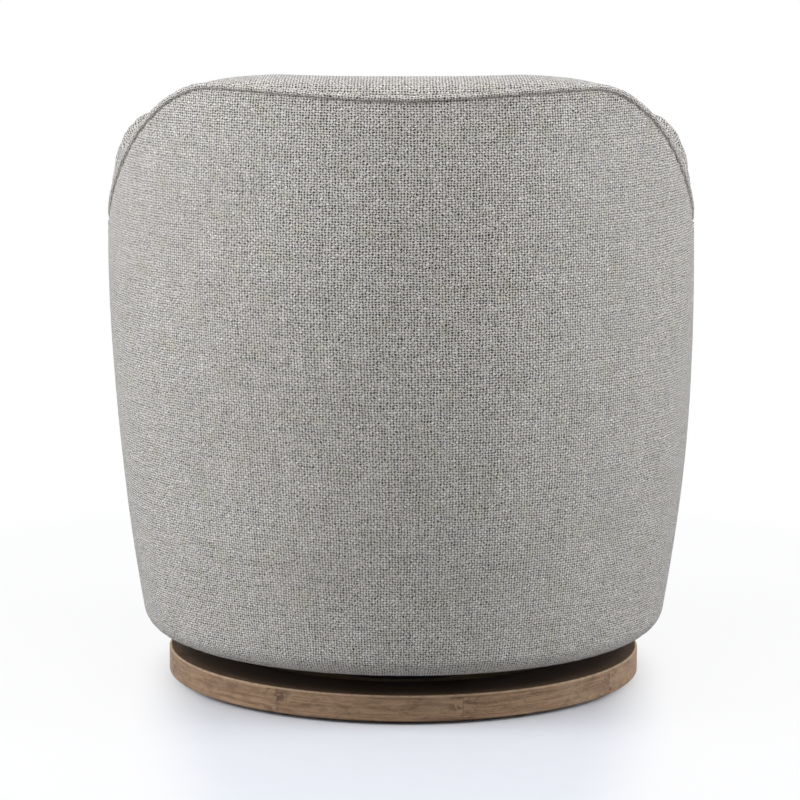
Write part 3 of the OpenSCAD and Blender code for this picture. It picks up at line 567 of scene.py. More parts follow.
def plinth_wood():
    """Weathered brown wood in glued segments round the ring, with painted shade on its top face and a painted
    highlight along its top outer edge.
    """
    g = Graph("plinth_wood")
    x, y, z = g.split(g.object_point())
    angle = g.math("ARCTAN2", x, y)
    radius = g.math("SQRT", g.add(g.mul(x, x), g.mul(y, y)))
    segments = 8
    part = g.add(g.mul(angle, segments / (2 * math.pi)), 0.31)
    index = g.math("FLOOR", part)
    within = g.math("FRACT", part)
    around = g.add(g.mul(angle, 0.31), g.mul(index, 3.71))
    grain = g.noise(g.vector(g.mul(around, 13.0), g.mul(z, 210.0), g.mul(radius, 210.0)), 1.0, 6.0, 0.66, 0.4)
    pores = g.noise(g.vector(g.mul(around, 60.0), g.mul(z, 900.0), g.mul(radius, 900.0)), 1.0, 3.0, 0.6)
    cloud = g.noise(g.vector(g.mul(around, 16.0), g.mul(z, 22.0), g.mul(radius, 22.0)), 1.0, 3.0, 0.55, 0.4)
    dark = g.noise(g.vector(g.mul(around, 45.0), g.mul(z, 85.0), g.mul(radius, 60.0)), 1.0, 5.0, 0.7, 1.2)
    tone = g.noise(g.vector(g.mul(index, 5.3), 1.7, 0.0), 1.0, 0.0)
    base = g.colour(g.remap(grain, 0.32, 0.68), srgb(120, 91, 68), srgb(168, 137, 107))
    base = g.colour(g.remap(cloud, 0.45, 0.72, 0.0, 0.7), base, srgb(168, 141, 113))
    ends = g.math("MAXIMUM", g.remap(within, 0.10, 0.0), g.remap(within, 0.88, 1.0))
    patch = g.mul(g.remap(dark, 0.48, 0.63), g.add(0.35, g.mul(ends, 0.6)))
    base = g.colour(patch, base, srgb(86, 61, 44))
    base = g.colour(g.remap(pores, 0.60, 0.72, 0.0, 0.5), base, srgb(74, 54, 40))
    line = g.math("MAXIMUM", g.remap(within, 0.004, 0.0), g.remap(within, 0.996, 1.0))
    base = g.colour(g.mul(line, 0.4), base, srgb(62, 46, 36))
    # Painted shade: the top face darkens inwards, where the shell overhangs it.
    top = g.remap(z, 0.0362, 0.0372)
    base = g.colour(g.mul(top, g.remap(radius, 0.304, 0.284, 0.6, 0.88)), base, srgb(46, 33, 25))
    # Painted highlight: a light band along the top outer edge of the rim.
    wear_and_highlight = g.mul(g.remap(z, 0.0345, 0.0370), g.remap(radius, 0.3055, 0.3085))
    highlight_noise = g.remap(g.noise(g.vector(g.mul(around, 70.0), 2.0, 0.0), 1.0, 3.0), 0.30, 0.62)
    base = g.colour(g.mul(wear_and_highlight, g.add(0.45, g.mul(highlight_noise, 0.45))), base, srgb(200, 172, 142))
    colour = g.scale_colour(base, g.add(0.86, g.mul(tone, 0.24)))
    height = g.add(g.mul(grain, 0.5), g.mul(pores, -0.4))
    rough = g.remap(grain, 0.3, 0.7, 0.52, 0.70)
    return g.finish(colour, rough, g.bump(height, 0.0007, 0.7), Specular_IOR_Level=0.35)


def board_wood(name, light, dark, layers=0.0, along="x"):
    """Plain timber or plywood: grain along one way, and its plies on the edges."""
    g = Graph(name)
    x, y, z = g.split(g.object_point())
    a, b = (x, y) if along == "x" else (y, x)
    grain = g.noise(g.vector(g.mul(a, 6.0), g.mul(b, 130.0), g.mul(z, 130.0)), 1.0, 5.0, 0.6, 0.6)
    pores = g.noise(g.vector(g.mul(a, 70.0), g.mul(b, 900.0), g.mul(z, 900.0)), 1.0, 2.0)
    base = g.colour(g.remap(grain, 0.3, 0.7), light, dark)
    base = g.colour(g.remap(pores, 0.60, 0.72, 0.0, 0.35), base, dark)
    if layers:
        ply = g.math("SINE", g.mul(z, 2 * math.pi * layers))
        edge = g.math("ABSOLUTE", g.split(g.node("NewGeometry").outputs["Normal"])[2])
        side = g.remap(edge, 0.5, 0.2)
        base = g.colour(g.mul(g.remap(ply, -0.2, 0.4), g.mul(side, 0.5)), base, dark)
    return g.finish(base, 0.62, g.bump(grain, 0.0004, 0.5))


def metal(name, colour, rough, metallic=1.0, grit=0.0):
    g = Graph(name)
    p = g.object_point()
    cloud = g.noise(p, 60.0, 4.0, 0.6)
    fine = g.noise(p, 900.0, 2.0)
    tint = g.scale_colour(colour, g.add(0.88, g.mul(cloud, 0.24)))
    height = g.add(g.mul(fine, 0.6 + grit), g.mul(cloud, 0.3))
    wear_and_highlight = g.remap(cloud, 0.3, 0.7, rough - 0.07, rough + 0.10)
    return g.finish(tint, wear_and_highlight, g.bump(height, 0.00025, 0.35), Metallic=metallic)


def plain(name, light, dark, rough, scale, relief=0.0003, stretch=1.0):
    """Rubber, nylon, felt and board: a fine mottle between two tones."""
    g = Graph(name)
    x, y, z = g.split(g.object_point())
    p = g.vector(x, g.mul(y, stretch), z)
    fine = g.noise(p, scale, 4.0, 0.6)
    cloud = g.noise(p, scale / 12, 3.0)
    base = g.colour(g.remap(g.add(g.mul(fine, 0.7), g.mul(cloud, 0.3)), 0.3, 0.7), dark, light)
    varied = g.remap(fine, 0.3, 0.7, rough - 0.05, min(1.0, rough + 0.05))
    return g.finish(base, varied, g.bump(fine, relief, 0.6))


fabric = weave("woven_fabric")
welt_fabric = weave("welt_fabric", tone=1.06, warp=3.6, weft=3.2, relief=0.0006)
wood = plinth_wood()
plywood = board_wood("birch_plywood", srgb(214, 187, 146), srgb(176, 143, 102), layers=1 / 0.0026)
hardwood = board_wood("frame_hardwood", srgb(196, 160, 116), srgb(158, 120, 82), along="y")
hardboard = plain("hardboard", srgb(140, 108, 76), srgb(104, 78, 54), 0.75, 400.0)
black_steel = metal("black_powder_coat", srgb(44, 44, 46), 0.48, 0.0, 0.5)
zinc = metal("bright_zinc", srgb(196, 197, 200), 0.30)
polished = metal("polished_steel", srgb(205, 206, 208), 0.16)
spring_steel = metal("spring_steel", srgb(120, 122, 126), 0.36)
nylon = plain("natural_nylon", srgb(233, 229, 215), srgb(214, 209, 193), 0.42, 300.0, 0.0001)
rubber = plain("black_rubber", srgb(30, 30, 31), srgb(18, 18, 19), 0.78, 350.0)
dust_cloth = plain("black_dust_cloth", srgb(34, 34, 36), srgb(14, 14, 15), 0.95, 900.0, 0.0003, 2.5)
felt = plain("deck_felt", srgb(222, 216, 204), srgb(186, 179, 166), 0.95, 600.0, 0.0006)

NODE_LOOKS = {
    "plinth_rim": wood, "plinth_deck": plywood, "deck_screws": zinc, "floor_glides": rubber,
    "swivel_lower_plate": black_steel, "lower_plate_screws": zinc, "king_pin": polished,
    "bearing_balls": polished, "ball_cage": nylon,
    "swivel_upper_plate": black_steel, "rocker_cradle": black_steel, "cradle_rivets": zinc,
    "pivot_shaft": polished, "shaft_collars": black_steel, "bump_stops": rubber,
    "rocker_frame": black_steel, "pivot_bushings": nylon, "rocker_bolts": zinc, "rocker_nuts": zinc,
    "frame_bottom_ring": plywood, "frame_cross_rails": hardwood, "rail_screws": zinc,
    "frame_ribs": plywood, "frame_top_rail": plywood, "shell_board": hardboard,
    "seat_deck_ring": plywood, "front_board": plywood, "spring_clips": zinc, "deck_pad": felt,
}


def dress(obj, material):
    obj.data.materials.clear()
    obj.data.materials.append(material)
    return obj


for name, material in NODE_LOOKS.items():
    dress(nodes[name], material)


def piece(obj, body, material, stands_for=(), slot=None):
    """Dresses an object, puts it on its body and hides the CAD nodes that it stands for."""
    dress(obj, material)
    if slot:
        sway(obj)
    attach(obj, body)
    if stands_for:
        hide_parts(*stands_for)
    return obj


# ---- camera
FOCAL_PX, IMAGE_PX, SENSOR = 3852, 800, 36
CAMERA_AT = (0.0056, 5.0, 1.178)
PITCH, ROLL = math.radians(9.27), math.radians(0.2)


def aim_camera():
    """The photo's own view, from the rear, found by fitting the plinth and the outline."""
    data = bpy.data.cameras.new("camera")
    data.lens = FOCAL_PX / IMAGE_PX * SENSOR
    data.sensor_width = SENSOR
    data.sensor_fit = "HORIZONTAL"
    data.clip_start, data.clip_end = 0.05, 200
    cam = bpy.data.objects.new("camera", data)
    scene.collection.objects.link(cam)
    cam.location = CAMERA_AT
    right = Vector((-1, 0, 0))
    back = Vector((0, math.cos(PITCH), math.sin(PITCH)))
    up = back.cross(right)
    turned = Matrix((right, up, back)).transposed() @ Matrix.Rotation(ROLL, 3, "Z")
    cam.rotation_mode = "QUATERNION"
    cam.rotation_quaternion = turned.to_quaternion()
    scene.camera = cam


aim_camera()


# ---- outer covers
def roll_under(a, side_d, low_t, steps=10):
    """From the underside round the lower edge, up to where the wall starts."""
    out = []
    for k in range(steps + 1):
        t = math.pi / 2 * k / steps
        z = SHELL_Z + ROLL_R - (ROLL_R - low_t) * math.cos(t)
        out.append(place(a, skin_r(a, z) - (ROLL_R - (ROLL_R - side_d) * math.sin(t)), z))
    return out


# Each has its plan angle, its width in degrees and its height in mm.
LOWER_FOLDS = ((58, 1.6, -2.2), (53, 1.4, -1.5), (-70, 1.2, -3.0), (-31, 2.0, -1.0), (12, 2.4, -0.8))


def lower_puckers(a, z):
    """Faint gathers where the cover is pulled under the lower edge."""
    fade = np.exp(-np.maximum(z - SHELL_Z, 0) / 42)
    t = np.radians(a) * SHELL_R
    gathers = np.sin(t / 6.1 + 1.3 * np.sin(t / 41)) * (0.5 + 0.5 * np.sin(t / 57 + 0.8))
    folds = sum(h * np.exp(-(((a - c) / w) ** 2)) for c, w, h in LOWER_FOLDS)
    return fade * (0.55 * gathers + folds)


def seam_puckers(a, below):
    """Small pulls of the stitches just under the top seam."""
    t = np.radians(a) * SHELL_R
    return -0.55 * np.exp(-below / 16) * (1 + np.sin(t / 3.3 + 1.1 * np.sin(t / 27)))


def outer_back():
    """The outer back panel, one cloth over thin padding, from its turn-in to the top seam."""
    cloth_t, lip_r = 3.0, 6.0
    edge = SIDE_SEAM - 0.7
    angles = np.linspace(-edge, edge, 400)
    high = seam_z(angles) - 0.55 * welt_room(angles)
    rows = []
    inner_low = place(angles, skin_r(angles, SHELL_Z) - TURN_D, SHELL_Z + 0 * angles)
    rows.append(inner_low)
    for t in np.linspace(0, 1, 7)[1:-1]:
        rows.append(mix(inner_low, roll_under(angles, 0, 0)[0], t))
    rows += roll_under(angles, 0, 0)
    for t in np.linspace(0, 1, 96)[1:]:
        z = mix(SHELL_Z + ROLL_R, high, t)
        rows.append(place(angles, skin_r(angles, z), z))
    for t in np.linspace(0, 1, 6)[1:]:
        turn = math.pi / 2 * t
        z = high + 2.0 * math.sin(turn)
        rows.append(place(angles, skin_r(angles, z) - lip_r * (1 - math.cos(turn)), z))
    outer = np.array(rows).transpose(1, 0, 2)
    a = np.degrees(np.arctan2(outer[..., 0], outer[..., 1]))
    z = outer[..., 2]
    swell = 0.8 * ripple(a, z, 3, 150) + 0.35 * ripple(a, z, 4, 45)
    below = np.maximum(high[:, None] - z, 0)
    ends = smooth((edge - np.abs(a)) / 3)
    push = (swell * smooth(below / 30) + lower_puckers(a, z) + seam_puckers(a, below)) * ends
    push -= 2.4 * np.exp(-(((edge - np.abs(a)) / 1.1) ** 2))
    push -= 1.5 * np.exp(-((below / 5) ** 2)) + tuck(a) * np.exp(-((below / 26) ** 2))
    r = np.hypot(outer[..., 0], outer[..., 1])
    outer = place(a, r + push, z)
    inner = outer[:, ::-1].copy()
    radial = inner[..., :2] / np.linalg.norm(inner[..., :2], axis=-1, keepdims=True)
    inner[..., :2] -= radial * cloth_t
    low = smooth((SHELL_Z + 30 - inner[..., 2]) / 30)
    inner[..., 2] += 2.6 * low
    loops = np.concatenate([outer, inner], 1)
    step = np.linalg.norm(np.diff(outer, axis=1), axis=2)
    along = np.concatenate([np.zeros((len(angles), 1)), np.cumsum(step, 1)], 1)
    level = 60
    along += outer[:, level:level + 1, 2] - along[:, level:level + 1]
    v = np.concatenate([along, along[:, ::-1]], 1)
    u = np.repeat((np.radians(angles) * SHELL_R)[:, None], loops.shape[1], 1)
    obj = outward(skin("outer_back", loops, u, v))
    return piece(obj, "seat", fabric, ["outer_back_cover"], "fabric")


outer_back()


# ---- welts
def top_welt():
    edge = SIDE_SEAM + 0.2
    a = np.linspace(-edge, edge, 520)
    z = seam_z(a)
    t = np.radians(a) * SHELL_R
    path = place(a, skin_r(a, z) - 1.5 - tuck(a), z + 0.25 * np.sin(t / 9.0))
    r = WELT_R + 0.18 * np.sin(t / 2.1) + 0.12 * np.sin(t / 5.3)
    return piece(tube("top_piping", path, r, 14), "seat", welt_fabric, ["top_welt"], "welt")


def side_welts():
    parts = []
    sunk, welt_r = 3.5, 3.7
    for s in (-1, 1):
        z = np.linspace(SHELL_Z + 2, seam_z(SIDE_SEAM) - 6, 160)
        under = np.clip((SHELL_Z + ROLL_R - z) / ROLL_R, 0, 1)
        d = sunk + ROLL_R * (1 - np.sqrt(1 - under**2 * 0.98))
        a = np.full_like(z, s * SIDE_SEAM)
        path = place(a, skin_r(a, z) - d, z)
        parts.append(tube(f"side_piping_{s}", path, welt_r + 0.15 * np.sin(z / 2.2), 12, up=(1, 0, 0)))
    return piece(join("side_piping", parts), "seat", welt_fabric, ["side_welts"], "welt")


top_welt()
side_welts()


# ---- padded back and arms
# Each has its plan angle, its width in degrees and its height in mm.
PLEATS = (
    (65.5, 2.2, 6.0), (71.0, 2.4, 6.5), (76.5, 2.4, 6.0),
    (82.5, 2.4, 4.5), (95.0, 2.4, 3.5), (102.0, 2.6, 2.5),
)
# Marks for rows off the crown: a wall, or an arm's side against the frame.
WALL, FRAME_SIDE = -1, -2


def pleats(a, phi):
    """Folds that take up the cloth where the back's crown turns down into the arm."""
    a = np.abs(a)
    total = 0.0
    for centre, width, high in PLEATS:
        lean = centre + 2.2 * np.sin(phi)
        t = (a - lean) / width
        ridge = np.where(t > 0, np.exp(-(t**2)), np.exp(-((t * 2.8) ** 2)))
        valley = -0.45 * np.exp(-(((t + 0.85) * 2.2) ** 2))
        total = total + high * (ridge + valley)
    return total * np.exp(-(((phi - 0.75) / 0.85) ** 2)) * smooth(phi / 0.35)


def crown(a, from_d, from_z, steps=14):
    """Points up from the seam to the crest and down inside, each with its turn over the crown."""
    top, depth = crest_z(a), crest_d(a)
    out = []
    for k in range(1, steps + 1):
        t = math.pi / 2 * k / steps
        boxy = mix(0.94, 0.72, smooth((np.abs(a) - 56) / 20))
        d = depth - (depth - from_d) * math.cos(t) ** boxy
        z = from_z + (top - from_z) * math.sin(t)
        out.append((place(a, skin_r(a, z) - d, z), t))
    for k in range(1, steps + 5):
        t = math.pi / 2 * k / (steps + 4)
        z = top - INSIDE_DROP * (1 - math.cos(t))
        d = depth + (pad_t(a) - depth) * math.sin(t)
        out.append((place(a, skin_r(a, z) - d, z), math.pi / 2 + t))
    return out


def inside(a, low, steps=40):
    high = crest_z(a) - INSIDE_DROP
    out = []
    for k in range(1, steps + 1):
        t = k / steps
        r = mix(skin_r(a, high), plan_r(a), t) - pad_t(a) - INSIDE_BULGE * math.sin(math.pi * t)
        out.append((place(a, r, mix(high, low, t)), math.pi))
    return out


def push_out(points, amount):
    """Moves points away from the crown's centre line, by an amount in mm."""
    a = np.degrees(np.arctan2(points[..., 0], points[..., 1]))
    r = np.hypot(points[..., 0], points[..., 1])
    e = skin_r(a, points[..., 2]) - r - crest_d(a)
    centre_drop = 40
    h = np.maximum(points[..., 2] - (crest_z(a) - centre_drop), 0)
    n = np.maximum(np.hypot(e, h), 1e-6)
    return place(a, r - amount * e / n, points[..., 2] + amount * h / n)


def rail_z(a):
    return np.minimum(crest_z(a) - 45, seam_z(a) - 10)


def frame_rows(a, low, mark):
    """Points up the side of the pads that lies against the frame."""
    heights = [mix(low, rail_z(a), t) for t in np.linspace(0, 1, 8)]
    return [(place(a, skin_r(a, z) - PAD_D, z), mark) for z in heights]


def back_pad():
    """The inside back and its crown, from the top seam over and down to the seat deck."""
    edge, pleated, board_d = PAD_END, 52, COVER_T + 0.8
    spread = (np.linspace(-edge, -pleated, 110), np.linspace(-pleated, pleated, 120)[1:-1],
              np.linspace(pleated, edge, 110))
    a = np.concatenate(spread)
    low = DECK_TOP + PAD_GAP
    lip = seam_z(a) + 0.35 * welt_room(a)
    rows = frame_rows(a, low, WALL)
    rows.append((place(a, skin_r(a, rail_z(a)) - board_d, rail_z(a)), WALL))
    rows.append((place(a, skin_r(a, lip) - board_d, lip - 2), WALL))
    rows.append((place(a, skin_r(a, lip) - 5.0 - tuck(a), lip), 0))
    rows += crown(a, 3.0 + tuck(a), lip)
    rows += inside(a, low)
    loops = np.array([p for p, _ in rows]).transpose(1, 0, 2)
    phi = np.array([t for _, t in rows])[None]
    shown = phi >= 0
    z = loops[..., 2]
    aa = a[:, None]
    amount = pleats(aa, np.maximum(phi, 0)) + 0.9 * ripple(aa, z, 8, 120) + 0.4 * ripple(aa, z, 9, 38)
    t = np.radians(aa) * SHELL_R
    amount = amount - 0.5 * np.exp(-((phi / 0.25) ** 2)) * (1 + np.sin(t / 3.1))
    ends = smooth((edge - np.abs(aa)) / 2.5)
    u, v = wrapped(loops, from_inside=True)
    loops = push_out(loops, amount * shown * (0.25 + 0.75 * ends))
    obj = outward(skin("inside_back", loops, u, v))
    return piece(obj, "seat", fabric, ["back_pad"], "fabric")


def arm(side):
    """An arm's cover and padding, outside, over the crown and inside, round the arm's frame."""
    s = 1 if side == "left" else -1
    start, end = ARM_START, NOSE_START
    a = np.linspace(start, end, 120)
    low, cloth_t = DECK_TOP + PAD_GAP, 3
    rows = [(place(a, skin_r(a, SHELL_Z) - TURN_D, SHELL_Z + 0 * a), WALL)]
    rows += [(p, WALL) for p in roll_under(a, 0, 0)]
    wall_top = seam_z(a)
    for t in np.linspace(0, 1, 72)[1:]:
        z = mix(SHELL_Z + ROLL_R, wall_top, t)
        rows.append((place(a, skin_r(a, z), z), 0 if t > 0.9 else WALL))
    rows += crown(a, 0, wall_top)
    rows += inside(a, low)
    rows += frame_rows(a, low, FRAME_SIDE)
    rows.append((place(a, skin_r(a, rail_z(a)) - COVER_T, rail_z(a)), FRAME_SIDE))
    for t in np.linspace(1, 0, 24):
        z = mix(SHELL_Z + ROLL_R, rail_z(a) - 0.4, t)
        rows.append((place(a, skin_r(a, z) - COVER_T, z), FRAME_SIDE))
    rows += [(p, FRAME_SIDE) for p in roll_under(a, COVER_T, cloth_t)[::-1]]
    rows.append((place(a, skin_r(a, SHELL_Z) - TURN_D, SHELL_Z + cloth_t + 0 * a), FRAME_SIDE))
    loops = np.array([p for p, _ in rows]).transpose(1, 0, 2)
    phi = np.array([t for _, t in rows])[None]
    z = loops[..., 2]
    aa = a[:, None]
    ends = smooth((aa - start) / 2.5) * smooth((end - aa) / 2.5)
    shown = phi >= WALL
    grooves = -2.2 * np.exp(-(((aa - start) / 0.9) ** 2)) - 2.0 * np.exp(-(((end - aa) / 0.9) ** 2))
    swell = 0.8 * ripple(aa, z, 12, 110) + 0.4 * ripple(aa, z, 13, 36)
    amount = pleats(aa, np.maximum(phi, 0)) * (phi >= 0) + swell
    amount = (amount + lower_puckers(aa * s, z)) * shown * ends + grooves * shown
    u, v = wrapped(loops, arm_centre=105.0)
    loops = push_out(loops, amount)
    loops[..., 0] *= s
    obj = outward(skin(f"arm_{side}", loops, u * s, v))
    return piece(obj, "seat", fabric, [f"arm_wrap_{side}"], "fabric")


def arm_nose(side):
    """The rounded front of an arm: the arm's section, narrowed along a half circle to its tip."""
    s = 1 if side == "left" else -1
    start, turn_end, steps = NOSE_START + 0.2, 82.0, 22
    half = ARM_T / 2
    mid = float(plan_r(NOSE_START)) - half
    a0 = np.array([start])
    section = [p[0] for p in roll_under(a0, 0, 0)]
    for t in np.linspace(0, 1, 60)[1:]:
        z = mix(SHELL_Z + ROLL_R, seam_z(a0), t)
        section.append(place(a0, skin_r(a0, z), z)[0])
    section += [p[0] for p, _ in crown(a0, 0, seam_z(a0))]
    section += [p[0] for p, _ in inside(a0, DECK_TOP, 30)]
    inner_r = plan_r(a0) - ARM_T
    for t in np.linspace(0, 1, 14)[1:]:
        z = mix(DECK_TOP, SHELL_Z, t)
        section.append(place(a0, inner_r - INSIDE_BULGE * 0.5 * math.sin(math.pi * t), np.array([z]))[0])
    section = np.array(section)
    r = np.hypot(section[:, 0], section[:, 1])
    z = section[:, 2]
    top = float(crest_z(a0)[0])
    loops, us, vs = [], [], []
    for k in range(steps + 1):
        t = math.radians(turn_end * k / steps)
        a = start + math.degrees(math.asin(half * math.sin(t) / mid))
        middle = mid - bulge(z) / 2
        fall = half * 0.5 * (1 - math.cos(t)) * np.maximum(0, z - DECK_TOP) / (top - DECK_TOP)
        groove = -2.0 * math.exp(-((k / 1.2) ** 2))
        reach = (r - middle) * math.cos(t)
        reach = reach + np.sign(reach) * groove
        loops.append(place(a, middle + reach, z - fall))
        share = np.clip((r - middle) / half, -1, 1)
        us.append(share * half * (math.pi / 2 - t))
        over = np.sqrt(1 - share**2) * (z > seam_z(start))
        vs.append(z + half * over * (1 - math.sin(t)))
    loops = np.array(loops)
    aa = np.degrees(np.arctan2(loops[..., 0], loops[..., 1]))
    wave = 0.8 * ripple(aa, loops[..., 2], 21, 60)
    grow = smooth(np.arange(steps + 1) / 6)[:, None]
    loops[..., 1] -= wave * grow
    loops[..., 0] *= s
    obj = outward(skin(f"arm_front_{side}", loops, np.array(us) * s, np.array(vs)))
    return piece(obj, "seat", fabric, ["arm_fronts"], "fabric")


back_pad()
for side in ("left", "right"):
    arm(side)
    arm_nose(side)


# ---- front panel
def front_y(x, z, inset):
    return -(SHELL_R * (1 - (np.abs(x) / SHELL_R) ** FULL) ** (1 / FULL) - bulge(z) - FRONT_SET - inset)


def front_return(s):
    """The cover's side edge, turned back past the end of the front board."""
    z = np.linspace(SHELL_Z + 1.5, PAD_Z + 12.5, 50)
    length = 100
    loops, us = [], []
    for t in np.linspace(0, 1, 14):
        y = front_y(FRONT_HALF, z, 3.0 + length * t)
        bulk = 2.4 - 1.6 * (1 - min(1, t * 8)) ** 2
        face = np.stack([z * 0 + FRONT_HALF + bulk, y, z], -1)
        back = np.stack([z * 0 + FRONT_HALF - 0.3, y, z], -1)[::-1]
        loops.append(np.concatenate([face, back]))
        us.append(np.full(2 * len(z), FRONT_HALF + length * t))
    loops = np.array(loops)
    loops[..., 0] *= s
    vs = np.repeat(np.concatenate([z, z[::-1]])[None], len(loops), 0)
    return outward(skin(f"front_return_{s}", loops, np.array(us) * s, vs))


def front_panel():
    """The panel under the cushion: turned under, up its face, over its top edge and down behind."""
    xs = np.linspace(-FRONT_HALF, FRONT_HALF, 150)
    top = PAD_Z + 14.0
    low_r, top_h, cloth_t = 12, 5, 3
    rows = []

    def row(x, z, inset):
        z = z + 0 * xs
        rows.append(np.stack([x, front_y(xs, z, inset), z], -1))

    for k in range(5):
        row(xs * 0.995, SHELL_Z, 40 - 8 * k)
    for k in range(9):
        t = math.pi / 2 * k / 8
        row(xs, SHELL_Z + low_r - low_r * math.cos(t), low_r - low_r * math.sin(t))
    for t in np.linspace(0, 1, 44)[1:]:
        row(xs, mix(SHELL_Z + low_r, top - top_h, t), 0)
    for k in range(1, 9):
        t = math.pi * k / 8
        row(xs, top - top_h + top_h * math.sin(t), 6 - 6 * math.cos(t))
    face_rows = 58
    for t in np.linspace(1, 0, 10)[1:]:
        row(xs * 0.99, mix(SHELL_Z + cloth_t, top - top_h, t), 12)
    loops = np.array(rows).transpose(1, 0, 2)
    z = loops[..., 2]
    x = xs[:, None]
    wave = 0.9 * ripple(x / 6.7, z, 31, 90) + 0.4 * ripple(x / 6.7, z, 32, 30)
    low = np.exp(-(z - SHELL_Z) / 30)
    wave = wave + low * 0.6 * np.sin(x / 7.0)
    ends = smooth((FRONT_HALF - np.abs(x)) / 12)
    front = np.arange(loops.shape[1])[None] < face_rows
    loops[..., 1] -= wave * ends * front - 3.0 * (1 - ends)
    u = np.repeat(xs[:, None], loops.shape[1], 1)
    parts = [outward(skin("front_panel", loops, u))]
    parts += [front_return(s) for s in (-1, 1)]
    return piece(join("front_panel", parts), "seat", fabric, ["front_cover"], "fabric")


front_panel()


# ---- seat cushion
CUSHION_Z = PAD_Z + 14.8
CUSHION_H = 112.0


def seat_r(a, inset):
    """The seat's plan: inside the arms and back, and out between the arm fronts."""
    b = np.abs((a + 180) % 360 - 180)
    straight = 112.0
    arm_in = plan_r(b) - pad_t(b) - INSIDE_BULGE - 4 - inset
    wide = (plan_r(straight) - pad_t(straight) - INSIDE_BULGE) * math.sin(math.radians(straight))
    limit = mix(wide, FRONT_HALF, smooth((b - straight) / 19)) - inset
    side = limit / np.maximum(0.001, np.sin(np.radians(b)))
    front = np.where(b < NOSE_START, np.minimum(arm_in, side), np.minimum(plan_r(b) - inset, side))
    return np.where(b < straight, arm_in, front)


def cushion_outline(inset, n=360):
    a = np.arange(n) * 360 / n
    pts = place(a, seat_r(a, inset), 0 * a)[:, :2]
    for _ in range(4):
        pts = (np.roll(pts, 1, 0) + 2 * pts + np.roll(pts, -1, 0)) / 4
    return pts


def seat_cushion():
    """The boxed cushion, crowned by cloth under pressure between its sewn edges, and its piping."""
    outline = cushion_outline(8.0)
    centre = np.array([0.0, -38.0])
    low, high = CUSHION_Z + 4, CUSHION_Z + CUSHION_H - 4
    rows = []
    for share in (0.05, 0.3, 0.55, 0.75, 0.9, 1.0):
        rows.append((share, low))
    for t in np.linspace(0, 1, 12)[1:]:
        rows.append((1.0, mix(low, high, t)))
    for share in (0.93, 0.8, 0.6, 0.35, 0.12):
        rows.append((share, high + 14 * (1 - share**2.6)))

    def ring(share, z):
        return np.column_stack([centre + (outline - centre) * share, np.full(len(outline), z)])

    obj = outward(skin("seat_cushion_pad", [ring(share, z) for share, z in rows]))
    def held(p):
        flat = np.abs(p[:, 2] - low) < 3.5
        edge = np.abs(p[:, 2] - high) < 4.5
        rim = near_outline(p[:, :2], outline) < 7
        return (flat & rim) | (edge & rim)

    def cap(p):
        under = smooth((p[:, 2] - low) / 12)
        return np.where(p[:, 2] > low + 3, 24 * under, 1.5)

    inflate(obj, held, cap)
    subdivide(obj)
    cushion_uv(obj)
    piece(obj, "seat", fabric, ["seat_cushion"], "fabric")
    parts = []
    for k, z in enumerate((low, high)):
        wobble = 0.2 * np.sin(np.arange(len(outline)) * 0.9)
        parts.append(tube(f"cushion_cord_{k}", ring(1.008, z), 4.2 + wobble, 12, closed=True))
    piece(join("cushion_piping", parts), "seat", welt_fabric, (), "welt")


def near_outline(p, outline):
    """Distance of plan points to the outline."""
    out = np.empty(len(p))
    batch = 4000
    for i in range(0, len(p), batch):
        d = p[i:i + batch, None, :] - outline[None]
        out[i:i + batch] = np.sqrt((d**2).sum(-1)).min(1)
    return out


seat_cushion()


# ---- springs and cloth below
def coil_springs():
    """The rocker's four coils, each held by the turntable below and by the seat above."""
    low, high = 39 + 2.35, 82 - 2.35
    turns, coil_r, wire_r = 5, 15, 2.25
    corners = (
        ("front_left", 58, -90), ("front_right", -58, -90), ("rear_left", 58, 90), ("rear_right", -58, 90),
    )
    for name, x, y in corners:
        t = np.linspace(0, turns, turns * 28 + 1)
        z = mix(low, high, t / turns)
        turn = -2 * np.pi * t
        path = np.stack([x + coil_r * np.sin(turn), y + coil_r * np.cos(turn), z], -1)
        obj = tube(f"coil_{name}", path, wire_r, 12)
        dress(obj, spring_steel)
        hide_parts(f"spring_{name}")
        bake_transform(obj)


def seat_springs():
    parts = []
    count, pitch, amplitude, wire_r = 5, 84, 26, 2.0
    z = DECK_TOP + 2.15
    for s in range(count):
        x0 = (s - count // 2) * pitch
        half = math.sqrt(212**2 - (abs(x0) - 13) ** 2) + 14
        folds = 2 * int(half / 20 / 2) + 1
        t = np.linspace(0, 1, folds * 14 + 1)
        x = x0 + amplitude * np.sin(np.pi * folds * t)
        path = np.stack([x, mix(-half, half, t), np.full_like(t, z)], -1)
        parts.append(tube(f"zigzag_{s}", path, wire_r, 10))
    piece(join("zigzag_springs", parts), "seat", spring_steel, ["seat_springs"])


def dust_cover():
    inner, outer, z = 174.5, 281.5, 66.9
    a = np.linspace(0, 2 * np.pi, 241)
    rows = []
    for r in np.linspace(inner, outer, 24):
        sag = 0.6 * np.sin(np.pi * (r - inner) / (outer - inner)) * (1 + 0.4 * np.sin(9 * a))
        rows.append(np.stack([r * np.sin(a), r * np.cos(a), z - sag], -1))
    obj = weld(skin("dust_cloth", rows, closed=False, caps=False))
    piece(obj, "seat", dust_cloth, ["dust_cover"])


coil_springs()
seat_springs()
dust_cover()


